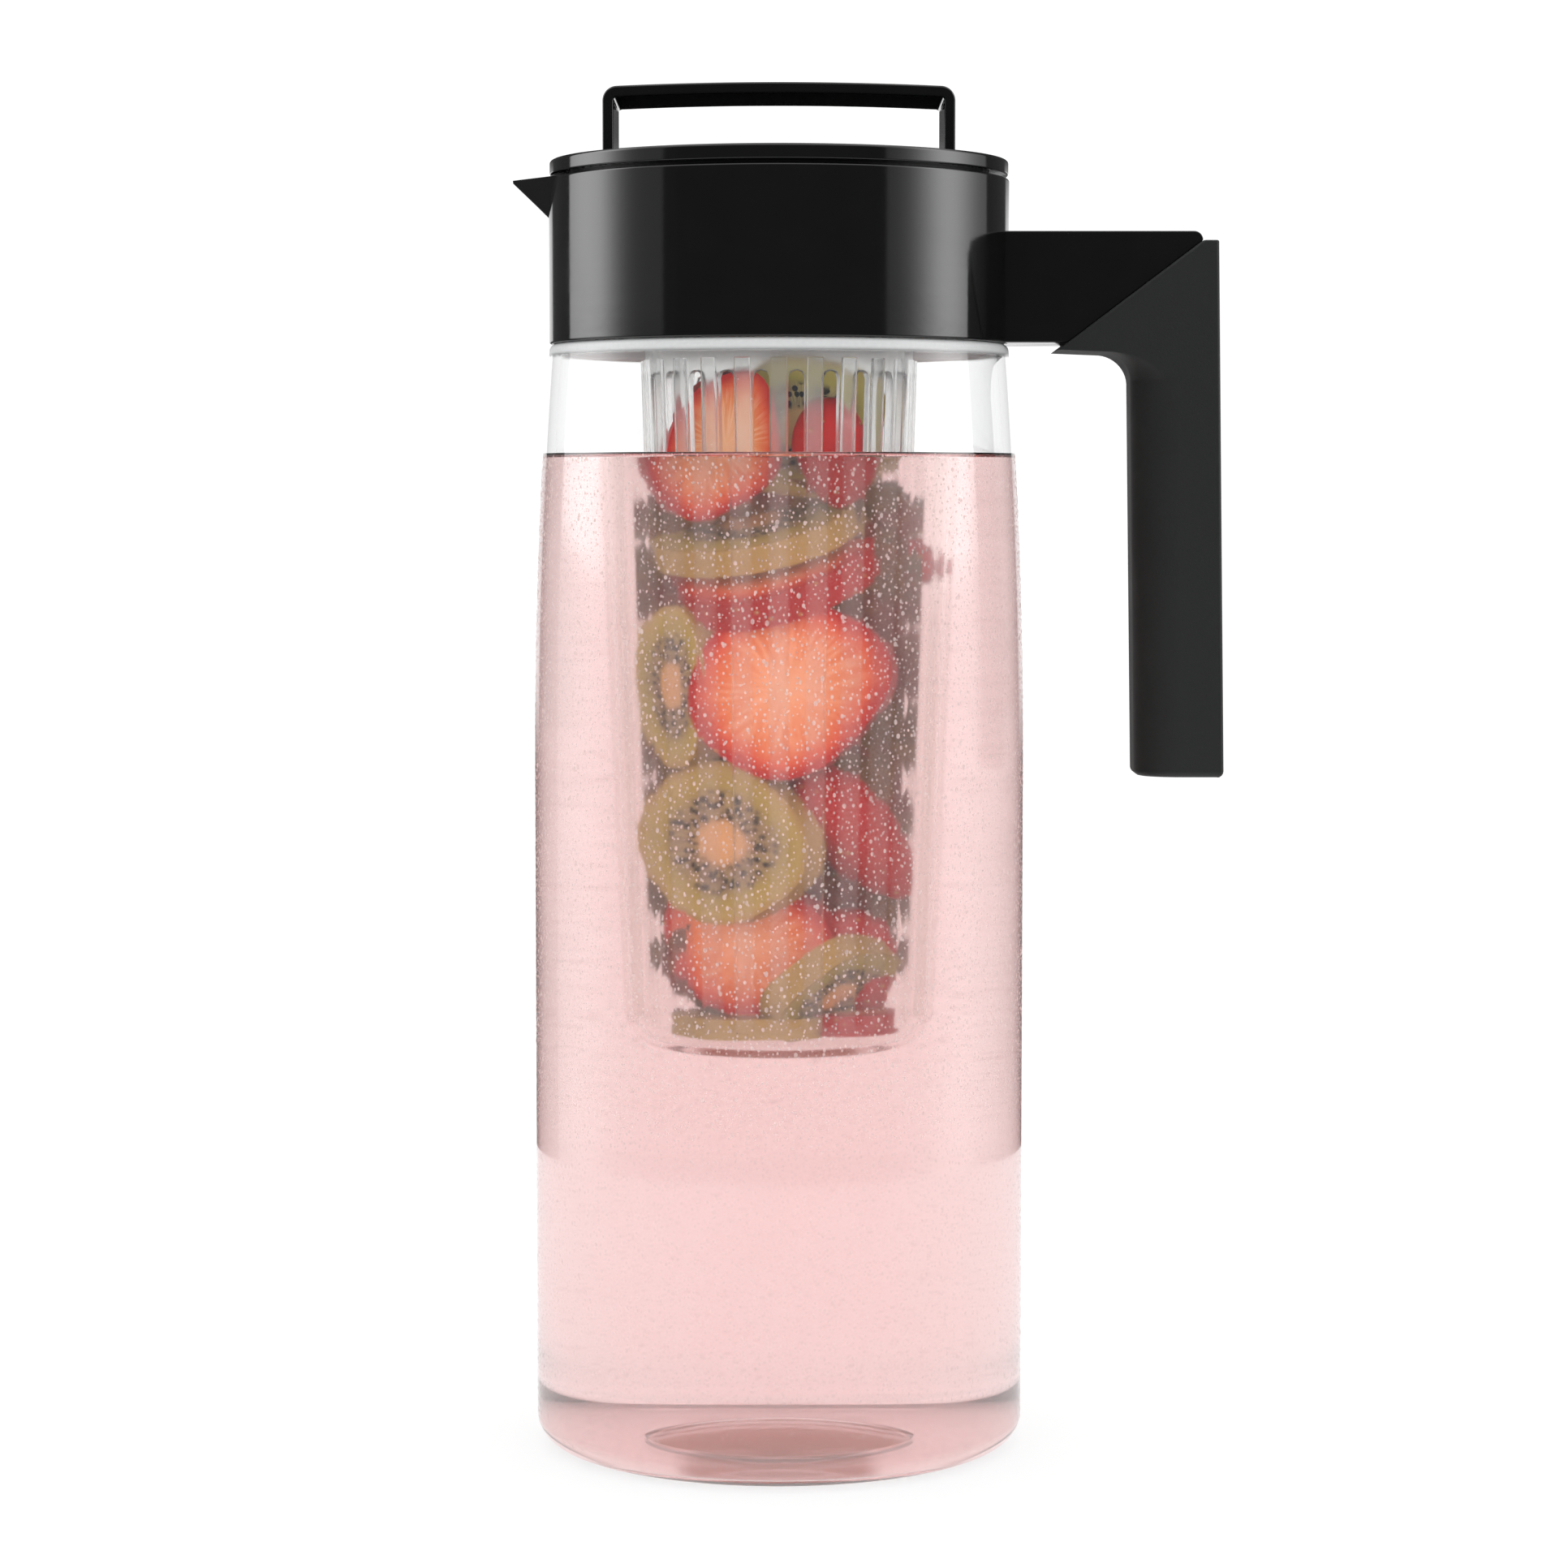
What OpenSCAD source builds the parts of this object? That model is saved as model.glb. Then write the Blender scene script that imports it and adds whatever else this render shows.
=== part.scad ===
// Fruit infuser pitcher: a clear jar, a black collar with a spout and a side handle,
// a push-in lid that turns to pour, and a slotted basket that screws into the lid.
// Origin at the middle of the foot, +Z up, +X towards the handle, -X towards the spout.

/* [Jar] */
// Outer diameter of the jar's straight wall
jar_d = 108; // [104:1:112]
// Thickness of the jar's wall
jar_wall = 2.6; // [2.2:0.1:3]
// Height at which the straight wall starts to draw in
jar_straight_h = 150; // [130:1:170]
// Height of the shoulder that carries the collar
jar_shoulder_h = 241.6; // [230:0.2:255]
// How far the shoulder is drawn in from the straight wall
jar_draw_in = 3.5; // [2.8:0.1:4.2]
// Rounding of the shoulder's edge
shoulder_round = 1.6; // [1.2:0.1:2]
// Outer rounding between the wall and the foot
foot_round = 6; // [4.5:0.5:8]
// Inner rounding between the wall and the floor
floor_round = 3.4; // [2.8:0.1:4.5]
// Thickness of the floor
floor_t = 2.4; // [2:0.1:3.2]
// Diameter of the hollow under the floor
punt_d = 44; // [36:1:52]
// Depth of the hollow under the floor
punt_h = 4; // [3:0.1:5]
// Height of the neck above the shoulder
neck_h = 22.4; // [21:0.1:24]
// Thickness of the neck's wall
neck_wall = 2.4; // [2:0.1:2.6]
// Height of the snap bead's middle above the shoulder
bead_rise = 8; // [6:0.1:10]
// Width of the snap bead round the neck
bead_w = 2.4; // [2:0.1:3]
// How far the snap bead stands out of the neck
bead_t = 0.7; // [0.5:0.05:0.9]

/* [Collar] */
// Thickness of the collar's wall round the jar's neck
collar_wall = 3.9; // [3.6:0.1:4.2]
// Height of the collar
collar_h = 35.8; // [34.5:0.1:37]
// Thickness of the collar's wall round the lid
collar_rim_wall = 4.3; // [4.1:0.05:4.6]
// Thickness of the ledge over the jar's rim
ledge_t = 2.2; // [1.8:0.1:2.6]
// How far the ledge reaches in from the neck's outside
ledge_reach = 2.2; // [2:0.1:2.4]
// Thickness of the gasket between the jar's rim and the ledge
gasket_t = 1.2; // [0.9:0.1:1.5]
// Rounding of the collar's outer edges
collar_edge = 0.5; // [0.3:0.1:0.8]

/* [Spout] */
// How far the spout reaches out of the collar
spout_reach = 7.9; // [6:0.1:9]
// Height of the spout at its root
spout_drop = 8.2; // [7:0.1:9]
// Width of the spout at its root
spout_w = 32; // [26:0.5:36]
// Wall of the spout
spout_wall = 1.6; // [1.3:0.1:1.8]
// Rounding of the spout's keel at its root
spout_keel_r = 4; // [3:0.1:4.5]
// Blunting of the spout's tip
spout_blunt = 0.6; // [0.4:0.1:1]

/* [Handle] */
// Width of the arm
arm_w = 24; // [21:0.5:26]
// Height of the arm
arm_h = 24.1; // [22:0.1:26]
// Distance from the collar to the end of the arm
arm_reach = 41.6; // [38:0.2:46]
// Rounding of the arm's upper corner
arm_corner = 2; // [1:0.1:3]
// Angle of the seam between the arm and the grip
seam_angle = 37; // [35:0.1:39]
// Width of the dovetail that holds the arm in the collar
tail_w = 12; // [10:0.5:14]
// Depth of the dovetail in the collar's wall
tail_depth = 1.9; // [1.6:0.1:2.2]
// How much wider the dovetail is at its end, on each side
tail_flare = 1; // [0.6:0.1:1.4]
// Width of the grip
grip_w = 26; // [24.5:0.5:30]
// Depth of the grip's bar, from the fingers to the palm
grip_bar_d = 19.1; // [17.5:0.1:21]
// How far the grip hangs below the arm
grip_drop = 94.5; // [80:0.5:105]
// How far the grip stands proud of the arm's end
grip_proud = 3.4; // [2.6:0.1:4.2]
// How far the grip's skin stands below the arm
grip_lip = 2; // [1.5:0.1:2.5]
// Outward lean of the grip's bar, in degrees
grip_lean = 0.9; // [0:0.1:1.5]
// Thickness of the grip's skin over the frame
grip_skin = 3; // [2.6:0.1:3.6]
// Rounding of the bar on the finger side
grip_finger_r = 7; // [5:0.5:8]
// Rounding of the bar on the palm side
grip_palm_r = 4; // [3:0.5:5.5]
// Hollow rounding between the arm and the bar
grip_hollow_r = 6.5; // [5:0.5:8]

/* [Lid] */
// Shadow gap between the collar and the lid
lid_gap = 0.9; // [0.6:0.1:1.2]
// Thickness of the lid's cap
cap_t = 3.2; // [2.8:0.1:3.8]
// How far the cap's edge stands in from the collar
cap_inset = 0.2; // [0:0.05:0.5]
// Rounding of the cap's upper edge
cap_edge = 0.7; // [0.4:0.1:1]
// Length of the lid's loop
loop_l = 76.2; // [70:0.2:80]
// Height of the loop above the cap
loop_h = 16; // [14:0.2:22]
// Width of the loop's strap
loop_w = 30; // [24:0.5:32]
// Thickness of the loop's strap
loop_t = 2.4; // [2:0.1:2.8]
// Rise of the strap's middle over its ends
loop_arch = 0.8; // [0.4:0.1:1.6]
// Outer rounding of the loop's corners
loop_corner = 3.2; // [3:0.1:4]
// Thickness of the loop's feet under the cap
loop_foot_t = 1.2; // [1:0.1:1.4]
// How far the loop's feet reach inwards
loop_foot_reach = 2; // [1.5:0.1:2.6]
// How far the loop's tangs are narrower than the strap, on each side
loop_tang_step = 2; // [1.5:0.1:3]

/* [Plug] */
// Thickness of the plug's roof
roof_t = 2; // [1.8:0.1:2.4]
// Thickness of the flange that sits on the collar's ledge
flange_t = 1.4; // [1.2:0.1:1.6]
// Thickness of the plug's upper wall
skirt_wall = 2; // [1.7:0.1:2.3]
// Height of the spigot below the ledge
spigot_h = 17; // [15.5:0.1:18.5]
// Thickness of the spigot's wall
spigot_wall = 3.8; // [3.6:0.1:4.1]
// Gap between the spigot and the jar's neck, which the O-ring bridges
spigot_gap = 1.1; // [0.9:0.05:1.3]
// Width of the pouring passage between the spigot and the basket's socket
passage_w = 6.7; // [6.2:0.1:7.2]
// Thickness of the silicone pour seal
seal_t = 2; // [1.7:0.1:2.3]
// Width of the pour window
window_w = 28; // [24:0.5:30]
// Rim of the pour seal above and below the window
window_rim = 1; // [0.8:0.1:1.2]
// Diameter of the O-ring's cord
ring_cord_d = 2.6; // [2.4:0.1:2.8]
// Height of the O-ring's middle above the spigot's end
ring_rise = 4.4; // [3.6:0.1:6]
// Number of screws that hold the plug to the cap
screw_n = 4; // [2:2:4]
// Diameter of the screws' shank
screw_d = 2.4; // [2.2:0.1:2.6]
// Diameter of the screws' head
screw_head_d = 5.4; // [5.2:0.1:5.8]
// Height of the screws' head
screw_head_h = 1.8; // [1.5:0.1:2.2]
// Diameter of the cap's screw bosses
boss_d = 4.6; // [4.4:0.1:4.8]
// Depth of the screws in the cap itself
screw_bite = 1.6; // [1.2:0.1:1.9]

/* [Basket] */
// How far the basket's shoulder stands out of its threaded neck
basket_shoulder_w = 1.3; // [1.1:0.1:2]
// How far the basket's wall draws in from the shoulder down to the floor
basket_draft = 5.2; // [3.5:0.1:6.5]
// Height of the basket below its shoulder
basket_h = 155.4; // [140:0.2:165]
// Thickness of the basket's wall
basket_wall = 1.7; // [1.5:0.1:2]
// Thickness of the basket's floor
basket_floor_t = 2; // [1.6:0.1:2.5]
// Outer rounding of the basket's lower edge
basket_round = 6; // [5:0.5:7]
// Number of slots, and of ribs between them
slot_n = 24; // [20:1:28]
// Share of the pitch that a slot takes
slot_share = 0.47; // [0.4:0.01:0.5]
// Share of the pitch that a rib takes
rib_share = 0.44; // [0.36:0.01:0.46]
// How far a rib stands out of the wall
rib_t = 0.9; // [0.6:0.1:1.1]
// Height above the basket's foot at which a slot's lower end starts to round
slot_rise = 6; // [5.4:0.1:7]
// Depth below the shoulder at which a slot's upper end starts to round
slot_band = 9; // [8:0.1:10]
// Distance from the shoulder down to the ribs' upper end
rib_band = 4.7; // [4:0.1:5.5]
// Thickness of the neck's wall
basket_neck_wall = 1.9; // [1.7:0.1:2.2]
// Height of the neck above the shoulder
basket_neck_h = 12.8; // [12:0.1:14]
// Thickness of the silicone washer on the neck
washer_t = 1.4; // [1.1:0.1:1.8]

/* [Thread] */
// Rise of the thread in one turn
thread_lead = 18; // [15:0.5:21]
// Number of thread starts
thread_n = 3; // [2:1:4]
// Depth of the thread
thread_depth = 1.2; // [1:0.05:1.4]
// Height of the threaded stretch
thread_h = 8.4; // [7.5:0.1:9]
// Distance from the socket's mouth to the thread
thread_rise = 1.8; // [1.4:0.1:2.2]
// Share of the pitch that one ridge takes
ridge_share = 0.43; // [0.38:0.01:0.45]
// Wall of the threaded socket
socket_wall = 2.6; // [2.3:0.1:3]
// Height of the socket's mouth above the collar's foot
socket_rise = 1.3; // [0.8:0.1:2]

/* [Clearances] */
// Gap between pieces that are fixed together, and between flat faces that slide
fit_gap = 0.1; // [0.08:0.01:0.14]
// Gap between round pieces that move past each other
run_gap = 0.3; // [0.25:0.01:0.35]

/* [Hidden] */
$fn = 96;
// Points on a short rounded corner
corner_steps = 8;
// Points on a long, gentle curve
sweep_steps = 18;
// Overrun of every cut
over = 1;
// Depth of the outlines that the spout is stretched between
slice_t = 0.1;

// Jar
jar_r = jar_d / 2;
jar_in_r = jar_r - jar_wall;
shoulder_r = jar_r - jar_draw_in;
draw_h = jar_shoulder_h - jar_straight_h;
draw_rho = (draw_h * draw_h + jar_draw_in * jar_draw_in) / (2 * jar_draw_in);
draw_angle = asin(draw_h / draw_rho);
draw_centre = [jar_r - draw_rho, jar_straight_h];
punt_r = punt_d / 2;
punt_rho = (punt_r * punt_r + punt_h * punt_h) / (2 * punt_h);
punt_centre = [0, punt_h - punt_rho];
// Where the inside leaves the drawn-in wall for the neck, along the curve
neck_blend_share = 0.95;

// Collar
collar_r = shoulder_r;
collar_z0 = jar_shoulder_h + shoulder_round;
collar_z1 = collar_z0 + collar_h;
collar_in_r = collar_r - collar_wall;
neck_r = collar_in_r - fit_gap;
neck_in_r = neck_r - neck_wall;
neck_z1 = collar_z0 + neck_h;
ledge_z0 = neck_z1 + gasket_t;
ledge_z1 = ledge_z0 + ledge_t;
ledge_r = neck_r - ledge_reach;
bore_r = collar_r - collar_rim_wall;
bead_z0 = collar_z0 + bead_rise - bead_w / 2;
bead_z1 = bead_z0 + bead_w;

// Spout: a V whose half width and depth grow evenly from a point just past its blunt tip
spout_apex_x = collar_r + spout_reach + spout_blunt;
spout_root_x = sqrt(collar_r * collar_r - spout_w * spout_w / 4);
spout_len = spout_apex_x - spout_root_x;
spout_spread = spout_w / 2 / spout_len;
spout_slope = spout_drop / (spout_reach + spout_blunt);
spout_normal = [spout_spread * spout_slope, spout_slope, spout_spread];
// How far the channel's own point lies behind the spout's, for an even wall
channel_shift = spout_wall * norm(spout_normal) / spout_normal[0];

// Lid
lid_z0 = collar_z1 + lid_gap;
lid_z1 = lid_z0 + cap_t;
cap_r = collar_r - cap_inset;
loop_z1 = lid_z1 + loop_h;
loop_half = loop_l / 2;
loop_end_z = loop_z1 - loop_arch;
loop_crown = loop_half - loop_corner;
loop_rho = (loop_crown * loop_crown + loop_arch * loop_arch) / (2 * loop_arch);
loop_tang_w = loop_w - 2 * loop_tang_step;

// Plug
plug_r = bore_r - run_gap;
skirt_r = plug_r - seal_t;
skirt_in_r = skirt_r - skirt_wall;
flange_z0 = ledge_z1 + fit_gap;
flange_z1 = flange_z0 + flange_t;
roof_z0 = lid_z0 - roof_t;
spigot_r = neck_in_r - spigot_gap;
spigot_in_r = spigot_r - spigot_wall;
spigot_z0 = flange_z0 - spigot_h;
window_z0 = flange_z1 + window_rim;
window_z1 = roof_z0 - window_rim;

// O-ring and its groove
ring_cord_r = ring_cord_d / 2;
ring_r = neck_in_r - run_gap - ring_cord_r;
ring_z = spigot_z0 + ring_rise;
groove_r = ring_r - ring_cord_r - run_gap;
groove_z0 = ring_z - ring_cord_r - run_gap;
groove_z1 = ring_z + ring_cord_r + run_gap;

// Thread, from the passage inwards
socket_z0 = collar_z0 + socket_rise;
socket_out_r = spigot_in_r - passage_w;
socket_r = socket_out_r - socket_wall;
socket_crest_r = socket_r - thread_depth;
crest_r = socket_r - run_gap;
basket_neck_r = crest_r - thread_depth;
basket_neck_in_r = basket_neck_r - basket_neck_wall;
thread_z0 = socket_z0 + thread_rise;
thread_turn = 360 * thread_h / thread_lead;
thread_pitch = 360 / thread_n;
ridge_angle = thread_pitch * ridge_share;
ridge_steps = 6;
thread_slices = 20;
// How deep a ridge is rooted in its wall
ridge_root = basket_neck_wall / 3;

// Basket
shoulder_z = socket_z0 - run_gap;
basket_z0 = shoulder_z - basket_h;
basket_top_r = basket_neck_r + basket_shoulder_w;
basket_floor_r = basket_top_r - basket_draft;
basket_neck_z1 = shoulder_z + basket_neck_h;
basket_taper = atan((basket_top_r - basket_floor_r) / basket_h);
slot_pitch = 360 / slot_n;
// A rib, not a slot, faces the front
slot_turn = slot_pitch / 2;
slot_angle = slot_pitch * slot_share;
rib_angle = slot_pitch * rib_share;
slot_z0 = basket_z0 + slot_rise;
slot_z1 = shoulder_z - slot_band;
rib_z0 = basket_z0 + basket_round;
rib_z1 = shoulder_z - rib_band;

// Washer, and the step of the socket that it seals against
washer_r = socket_crest_r - run_gap;
washer_z0 = basket_neck_z1 + fit_gap;
washer_z1 = washer_z0 + washer_t;
step_z0 = washer_z1 + fit_gap;
step_z1 = step_z0 + socket_wall;
step_out_r = basket_neck_in_r + socket_wall;

// Screws, on a circle midway between the socket and the skirt
screw_circle_r = (socket_out_r + skirt_in_r) / 2;
screw_r = screw_d / 2;
screw_len = roof_t + screw_bite;
screw_turn = 45;
screw_slot_w = screw_d / 4;
screw_slot_h = screw_head_h / 2;
boss_r = boss_d / 2;

// Handle
arm_z0 = collar_z0 + fit_gap;
arm_z1 = arm_z0 + arm_h;
arm_x1 = collar_r + arm_reach;
seam_z1 = arm_z1 - arm_corner;
lip_z0 = arm_z0 - grip_lip;
grip_z0 = arm_z0 - grip_drop;
grip_x1 = arm_x1 + grip_proud;
grip_x0 = grip_x1 - grip_bar_d;
core_w = grip_w - 2 * grip_skin;
core_end_z = grip_z0 + grip_skin;
// Where the core's underside leaves the arm, down the seam from its upper end
core_seam_share = 0.62;

function arc(centre, r, from, to, steps) = [
    for (i = [0:steps])
        let (a = from + (to - from) * i / steps)
            [centre[0] + r * cos(a), centre[1] + r * sin(a)]
];

function reversed(points) = [for (i = [len(points) - 1:-1:0]) points[i]];

// Outline turned about the Z axis
module turned(points, angle = 360) {
    rotate_extrude(angle = angle) polygon(points);
}

// Plain ring
module ring(r_out, r_in, z0, z1) {
    turned([[r_in, z0], [r_out, z0], [r_out, z1], [r_in, z1]]);
}

// Side outline in X and Z, centred on Y
module side_prism(points, width) {
    rotate([90, 0, 0]) linear_extrude(height = width, center = true) polygon(points);
}

// Clear vessel with a hollow foot and a snap-bead neck
module jar() {
    dome_r = punt_rho + floor_t;
    dome_edge = asin((floor_t - punt_centre[1]) / dome_r);
    outside = concat(
        arc(punt_centre, punt_rho, 90, asin(-punt_centre[1] / punt_rho), sweep_steps),
        arc([jar_r - foot_round, foot_round], foot_round, -90, 0, corner_steps),
        arc(draw_centre, draw_rho, 0, draw_angle, sweep_steps),
        arc([shoulder_r - shoulder_round, jar_shoulder_h], shoulder_round, 0, 90, corner_steps),
        [
            [neck_r, collar_z0],
            [neck_r, bead_z0],
            [neck_r + bead_t, bead_z0 + bead_t],
            [neck_r + bead_t, bead_z1 - bead_t],
            [neck_r, bead_z1],
            [neck_r, neck_z1]
        ]);
    inside = concat(
        [[neck_in_r, neck_z1], [neck_in_r, collar_z0]],
        arc(draw_centre, draw_rho - jar_wall, draw_angle * neck_blend_share, 0, sweep_steps),
        arc([jar_in_r - floor_round, floor_t + floor_round], floor_round, 0, -90, corner_steps),
        arc(punt_centre, dome_r, dome_edge, 90, sweep_steps));
    color([0.92, 0.95, 0.97, 0.35]) turned(concat(outside, inside));
}

// Rounded V across the spout at one distance from its point
module spout_slice(from_apex) {
    keel_r = spout_keel_r * from_apex / spout_len;
    half_w = spout_spread * from_apex;
    hull() {
        translate([0, keel_r - spout_slope * from_apex]) circle(r = keel_r, $fn = 32);
        translate([-half_w, 0]) square([2 * half_w, slice_t]);
    }
}

// Solid V between two distances from its point
module spout_form(near, far) {
    hull()
        for (from_apex = [near, far])
            translate([from_apex - spout_apex_x, 0, collar_z1 - slice_t])
                rotate([90, 0, 90]) linear_extrude(height = slice_t) spout_slice(from_apex);
}

// Channel along the spout and through the collar's wall, down to the pour window
module pour_channel() {
    far = spout_apex_x - channel_shift - bore_r + over;
    intersection() {
        translate([channel_shift, 0, 2 * slice_t]) spout_form(spout_blunt, far);
        translate([-spout_apex_x, -spout_w, window_z0]) cube([spout_apex_x, 2 * spout_w, collar_h]);
    }
}

// Ring round the jar's neck, with the ledge over the rim and the pouring spout
module collar() {
    outline = concat(
        [[collar_in_r, collar_z0]],
        arc([collar_r - collar_edge, collar_z0 + collar_edge], collar_edge, -90, 0, corner_steps),
        arc([collar_r - collar_edge, collar_z1 - collar_edge], collar_edge, 0, 90, corner_steps),
        [
            [bore_r, collar_z1],
            [bore_r, ledge_z1],
            [ledge_r, ledge_z1],
            [ledge_r, ledge_z0],
            [collar_in_r, ledge_z0],
            [collar_in_r, bead_z1 + fit_gap],
            [collar_in_r + bead_t, bead_z1 + fit_gap],
            [collar_in_r + bead_t, bead_z0 - fit_gap],
            [collar_in_r, bead_z0 - fit_gap]
        ]);
    color([0.08, 0.08, 0.08]) difference() {
        union() {
            turned(outline);
            spout_form(spout_blunt, spout_len);
        }
        pour_channel();
        handle_tail(fit_gap, collar_z0 - over, neck_z1);
    }
}

// Flat silicone ring between the jar's rim and the collar's ledge
module neck_gasket() {
    color([0.72, 0.73, 0.73]) ring(neck_r, ledge_r, neck_z1, ledge_z0);
}

// Dovetail on the arm's root, grown by gap to cut its slot
module handle_tail(gap, z0, z1) {
    mouth = tail_w / 2 + gap;
    end = mouth + tail_flare;
    translate([0, 0, z0])
        linear_extrude(height = z1 - z0)
            polygon([
                [collar_r - tail_depth - gap, -end],
                [collar_r + over, -mouth],
                [collar_r + over, mouth],
                [collar_r - tail_depth - gap, end]
            ]);
}

// X of the seam between arm and grip at height z
function seam_x(z) = arm_x1 - (seam_z1 - z) / tan(seam_angle);

// How far the bar's lean carries it outwards at height z
function lean_x(z) = (seam_z1 - z) * tan(grip_lean);

// Outline of the core that carries the grip, rooted in the arm; grow widens it for the grip's hollow
function core_outline(grow) =
    let (
        top = seam_z1 - grip_skin + grow,
        under = seam_z1 + (lip_z0 - seam_z1) * core_seam_share - grow,
        end = core_end_z - grow,
        palm = grip_x1 - grip_skin + grow,
        fingers = grip_x0 + grip_skin - grow
    )
    [
        [seam_x(top) - over, top],
        [palm + lean_x(top), top],
        [palm + lean_x(end), end],
        [fingers + lean_x(end), end],
        [fingers + lean_x(under), under],
        [seam_x(under) - over, under]
    ];

// Gloss arm and the core inside the grip
module handle_frame() {
    arm = concat(
        [[collar_r - over, arm_z0], [seam_x(arm_z0), arm_z0]],
        arc([arm_x1 - arm_corner, seam_z1], arm_corner, 0, 90, corner_steps),
        [[collar_r - over, arm_z1]]);
    color([0.07, 0.07, 0.07]) union() {
        difference() {
            side_prism(arm, arm_w);
            cylinder(r = collar_r + fit_gap, h = collar_z1);
        }
        handle_tail(0, arm_z0, neck_z1 - fit_gap);
        side_prism(core_outline(0), core_w);
    }
}

// Section of the grip's bar seen from above, rounder on the finger side
module bar_section() {
    half = grip_w / 2;
    translate([grip_x0 + grip_finger_r, -half])
        square([grip_bar_d - grip_finger_r - grip_palm_r, grip_w]);
    translate([grip_x0, grip_finger_r - half])
        square([grip_finger_r, grip_w - 2 * grip_finger_r]);
    translate([grip_x1 - grip_palm_r, grip_palm_r - half])
        square([grip_palm_r, grip_w - 2 * grip_palm_r]);
    for (side = [-1, 1]) {
        translate([grip_x0 + grip_finger_r, side * (half - grip_finger_r)]) circle(r = grip_finger_r);
        translate([grip_x1 - grip_palm_r, side * (half - grip_palm_r)]) circle(r = grip_palm_r);
    }
}

// Soft skin over the core: a wedge against the arm and a bar for the hand
module grip() {
    hollow_z = lip_z0 - grip_hollow_r;
    bar_x = grip_x0 + lean_x(hollow_z);
    wedge = concat(
        [[seam_x(lip_z0), lip_z0], [arm_x1, seam_z1], [grip_x1, seam_z1]],
        [[grip_x1 + lean_x(hollow_z), hollow_z]],
        arc([bar_x - grip_hollow_r, hollow_z], grip_hollow_r, 0, 90, corner_steps));
    color([0.16, 0.17, 0.17]) difference() {
        union() {
            side_prism(wedge, grip_w);
            translate([grip_x1, 0, seam_z1])
                rotate([0, -grip_lean, 0])
                    translate([-grip_x1, 0, grip_z0 - seam_z1])
                        linear_extrude(height = hollow_z - grip_z0 + over) bar_section();
        }
        side_prism(core_outline(fit_gap), core_w + 2 * fit_gap);
    }
}

// One face of the loop's strap, from end to end; inset steps in by the strap's thickness
function loop_face(inset) = concat(
    arc([-loop_crown, loop_end_z - loop_corner], loop_corner - inset, 180, 90, corner_steps),
    [for (i = [1:sweep_steps - 1])
        let (x = loop_crown * (2 * i / sweep_steps - 1))
            [x, loop_z1 - inset - loop_rho + sqrt(loop_rho * loop_rho - x * x)]],
    arc([loop_crown, loop_end_z - loop_corner], loop_corner - inset, 90, 0, corner_steps));

// Tang and foot of one leg, grown by gap and lengthened by beyond to cut the cap
module loop_tang(gap, beyond) {
    inner = loop_half - loop_t - gap;
    foot = inner - loop_foot_reach;
    foot_z = lid_z0 + loop_foot_t + gap;
    side_prism([
        [inner, lid_z1 + beyond],
        [inner, foot_z],
        [foot, foot_z],
        [foot, lid_z0 - beyond],
        [loop_half + gap, lid_z0 - beyond],
        [loop_half + gap, lid_z1 + beyond]
    ], loop_tang_w + 2 * gap);
}

// Fixed carrying loop; its tangs pass through the cap and end in feet under it
module lid_loop() {
    strap = concat(
        [[-loop_half, lid_z1]],
        loop_face(0),
        [[loop_half, lid_z1], [loop_half - loop_t, lid_z1]],
        reversed(loop_face(loop_t)),
        [[loop_t - loop_half, lid_z1]]);
    color([0.07, 0.07, 0.07]) union() {
        side_prism(strap, loop_w);
        for (side = [0, 180])
            rotate([0, 0, side]) loop_tang(0, 0);
    }
}

// Places of the screws that hold the plug to the cap
module at_screws() {
    for (i = [0:screw_n - 1])
        rotate([0, 0, screw_turn + i * 360 / screw_n])
            translate([screw_circle_r, 0, roof_z0]) children();
}

// Flat cover with screw bosses under it
module lid_cap() {
    outline = concat(
        [[0, lid_z0], [cap_r, lid_z0]],
        arc([cap_r - cap_edge, lid_z1 - cap_edge], cap_edge, 0, 90, corner_steps),
        [[0, lid_z1]]);
    color([0.08, 0.08, 0.08]) difference() {
        union() {
            turned(outline);
            at_screws() cylinder(r = boss_r, h = roof_t + screw_bite);
        }
        for (side = [0, 180])
            rotate([0, 0, side]) loop_tang(fit_gap, over);
        at_screws() translate([0, 0, -over])
            cylinder(r = screw_r + fit_gap, h = screw_len + fit_gap + over);
    }
}

// Helical ridges between two radii; one outline is one sector
module ridges(r_in, r_out, turn) {
    sector = concat(
        arc([0, 0], r_out, -ridge_angle / 2, ridge_angle / 2, ridge_steps),
        arc([0, 0], r_in, ridge_angle / 2, -ridge_angle / 2, ridge_steps));
    for (i = [0:thread_n - 1])
        translate([0, 0, thread_z0])
            rotate([0, 0, i * thread_pitch + turn])
                linear_extrude(height = thread_h, twist = -thread_turn, slices = thread_slices,
                               segments = len(sector))
                    polygon(sector);
}

// Cut for the pour window, a quarter turn away from the spout
module pour_window() {
    translate([-window_w / 2, screw_circle_r, window_z0])
        cube([window_w, bore_r, window_z1 - window_z0]);
}

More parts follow.
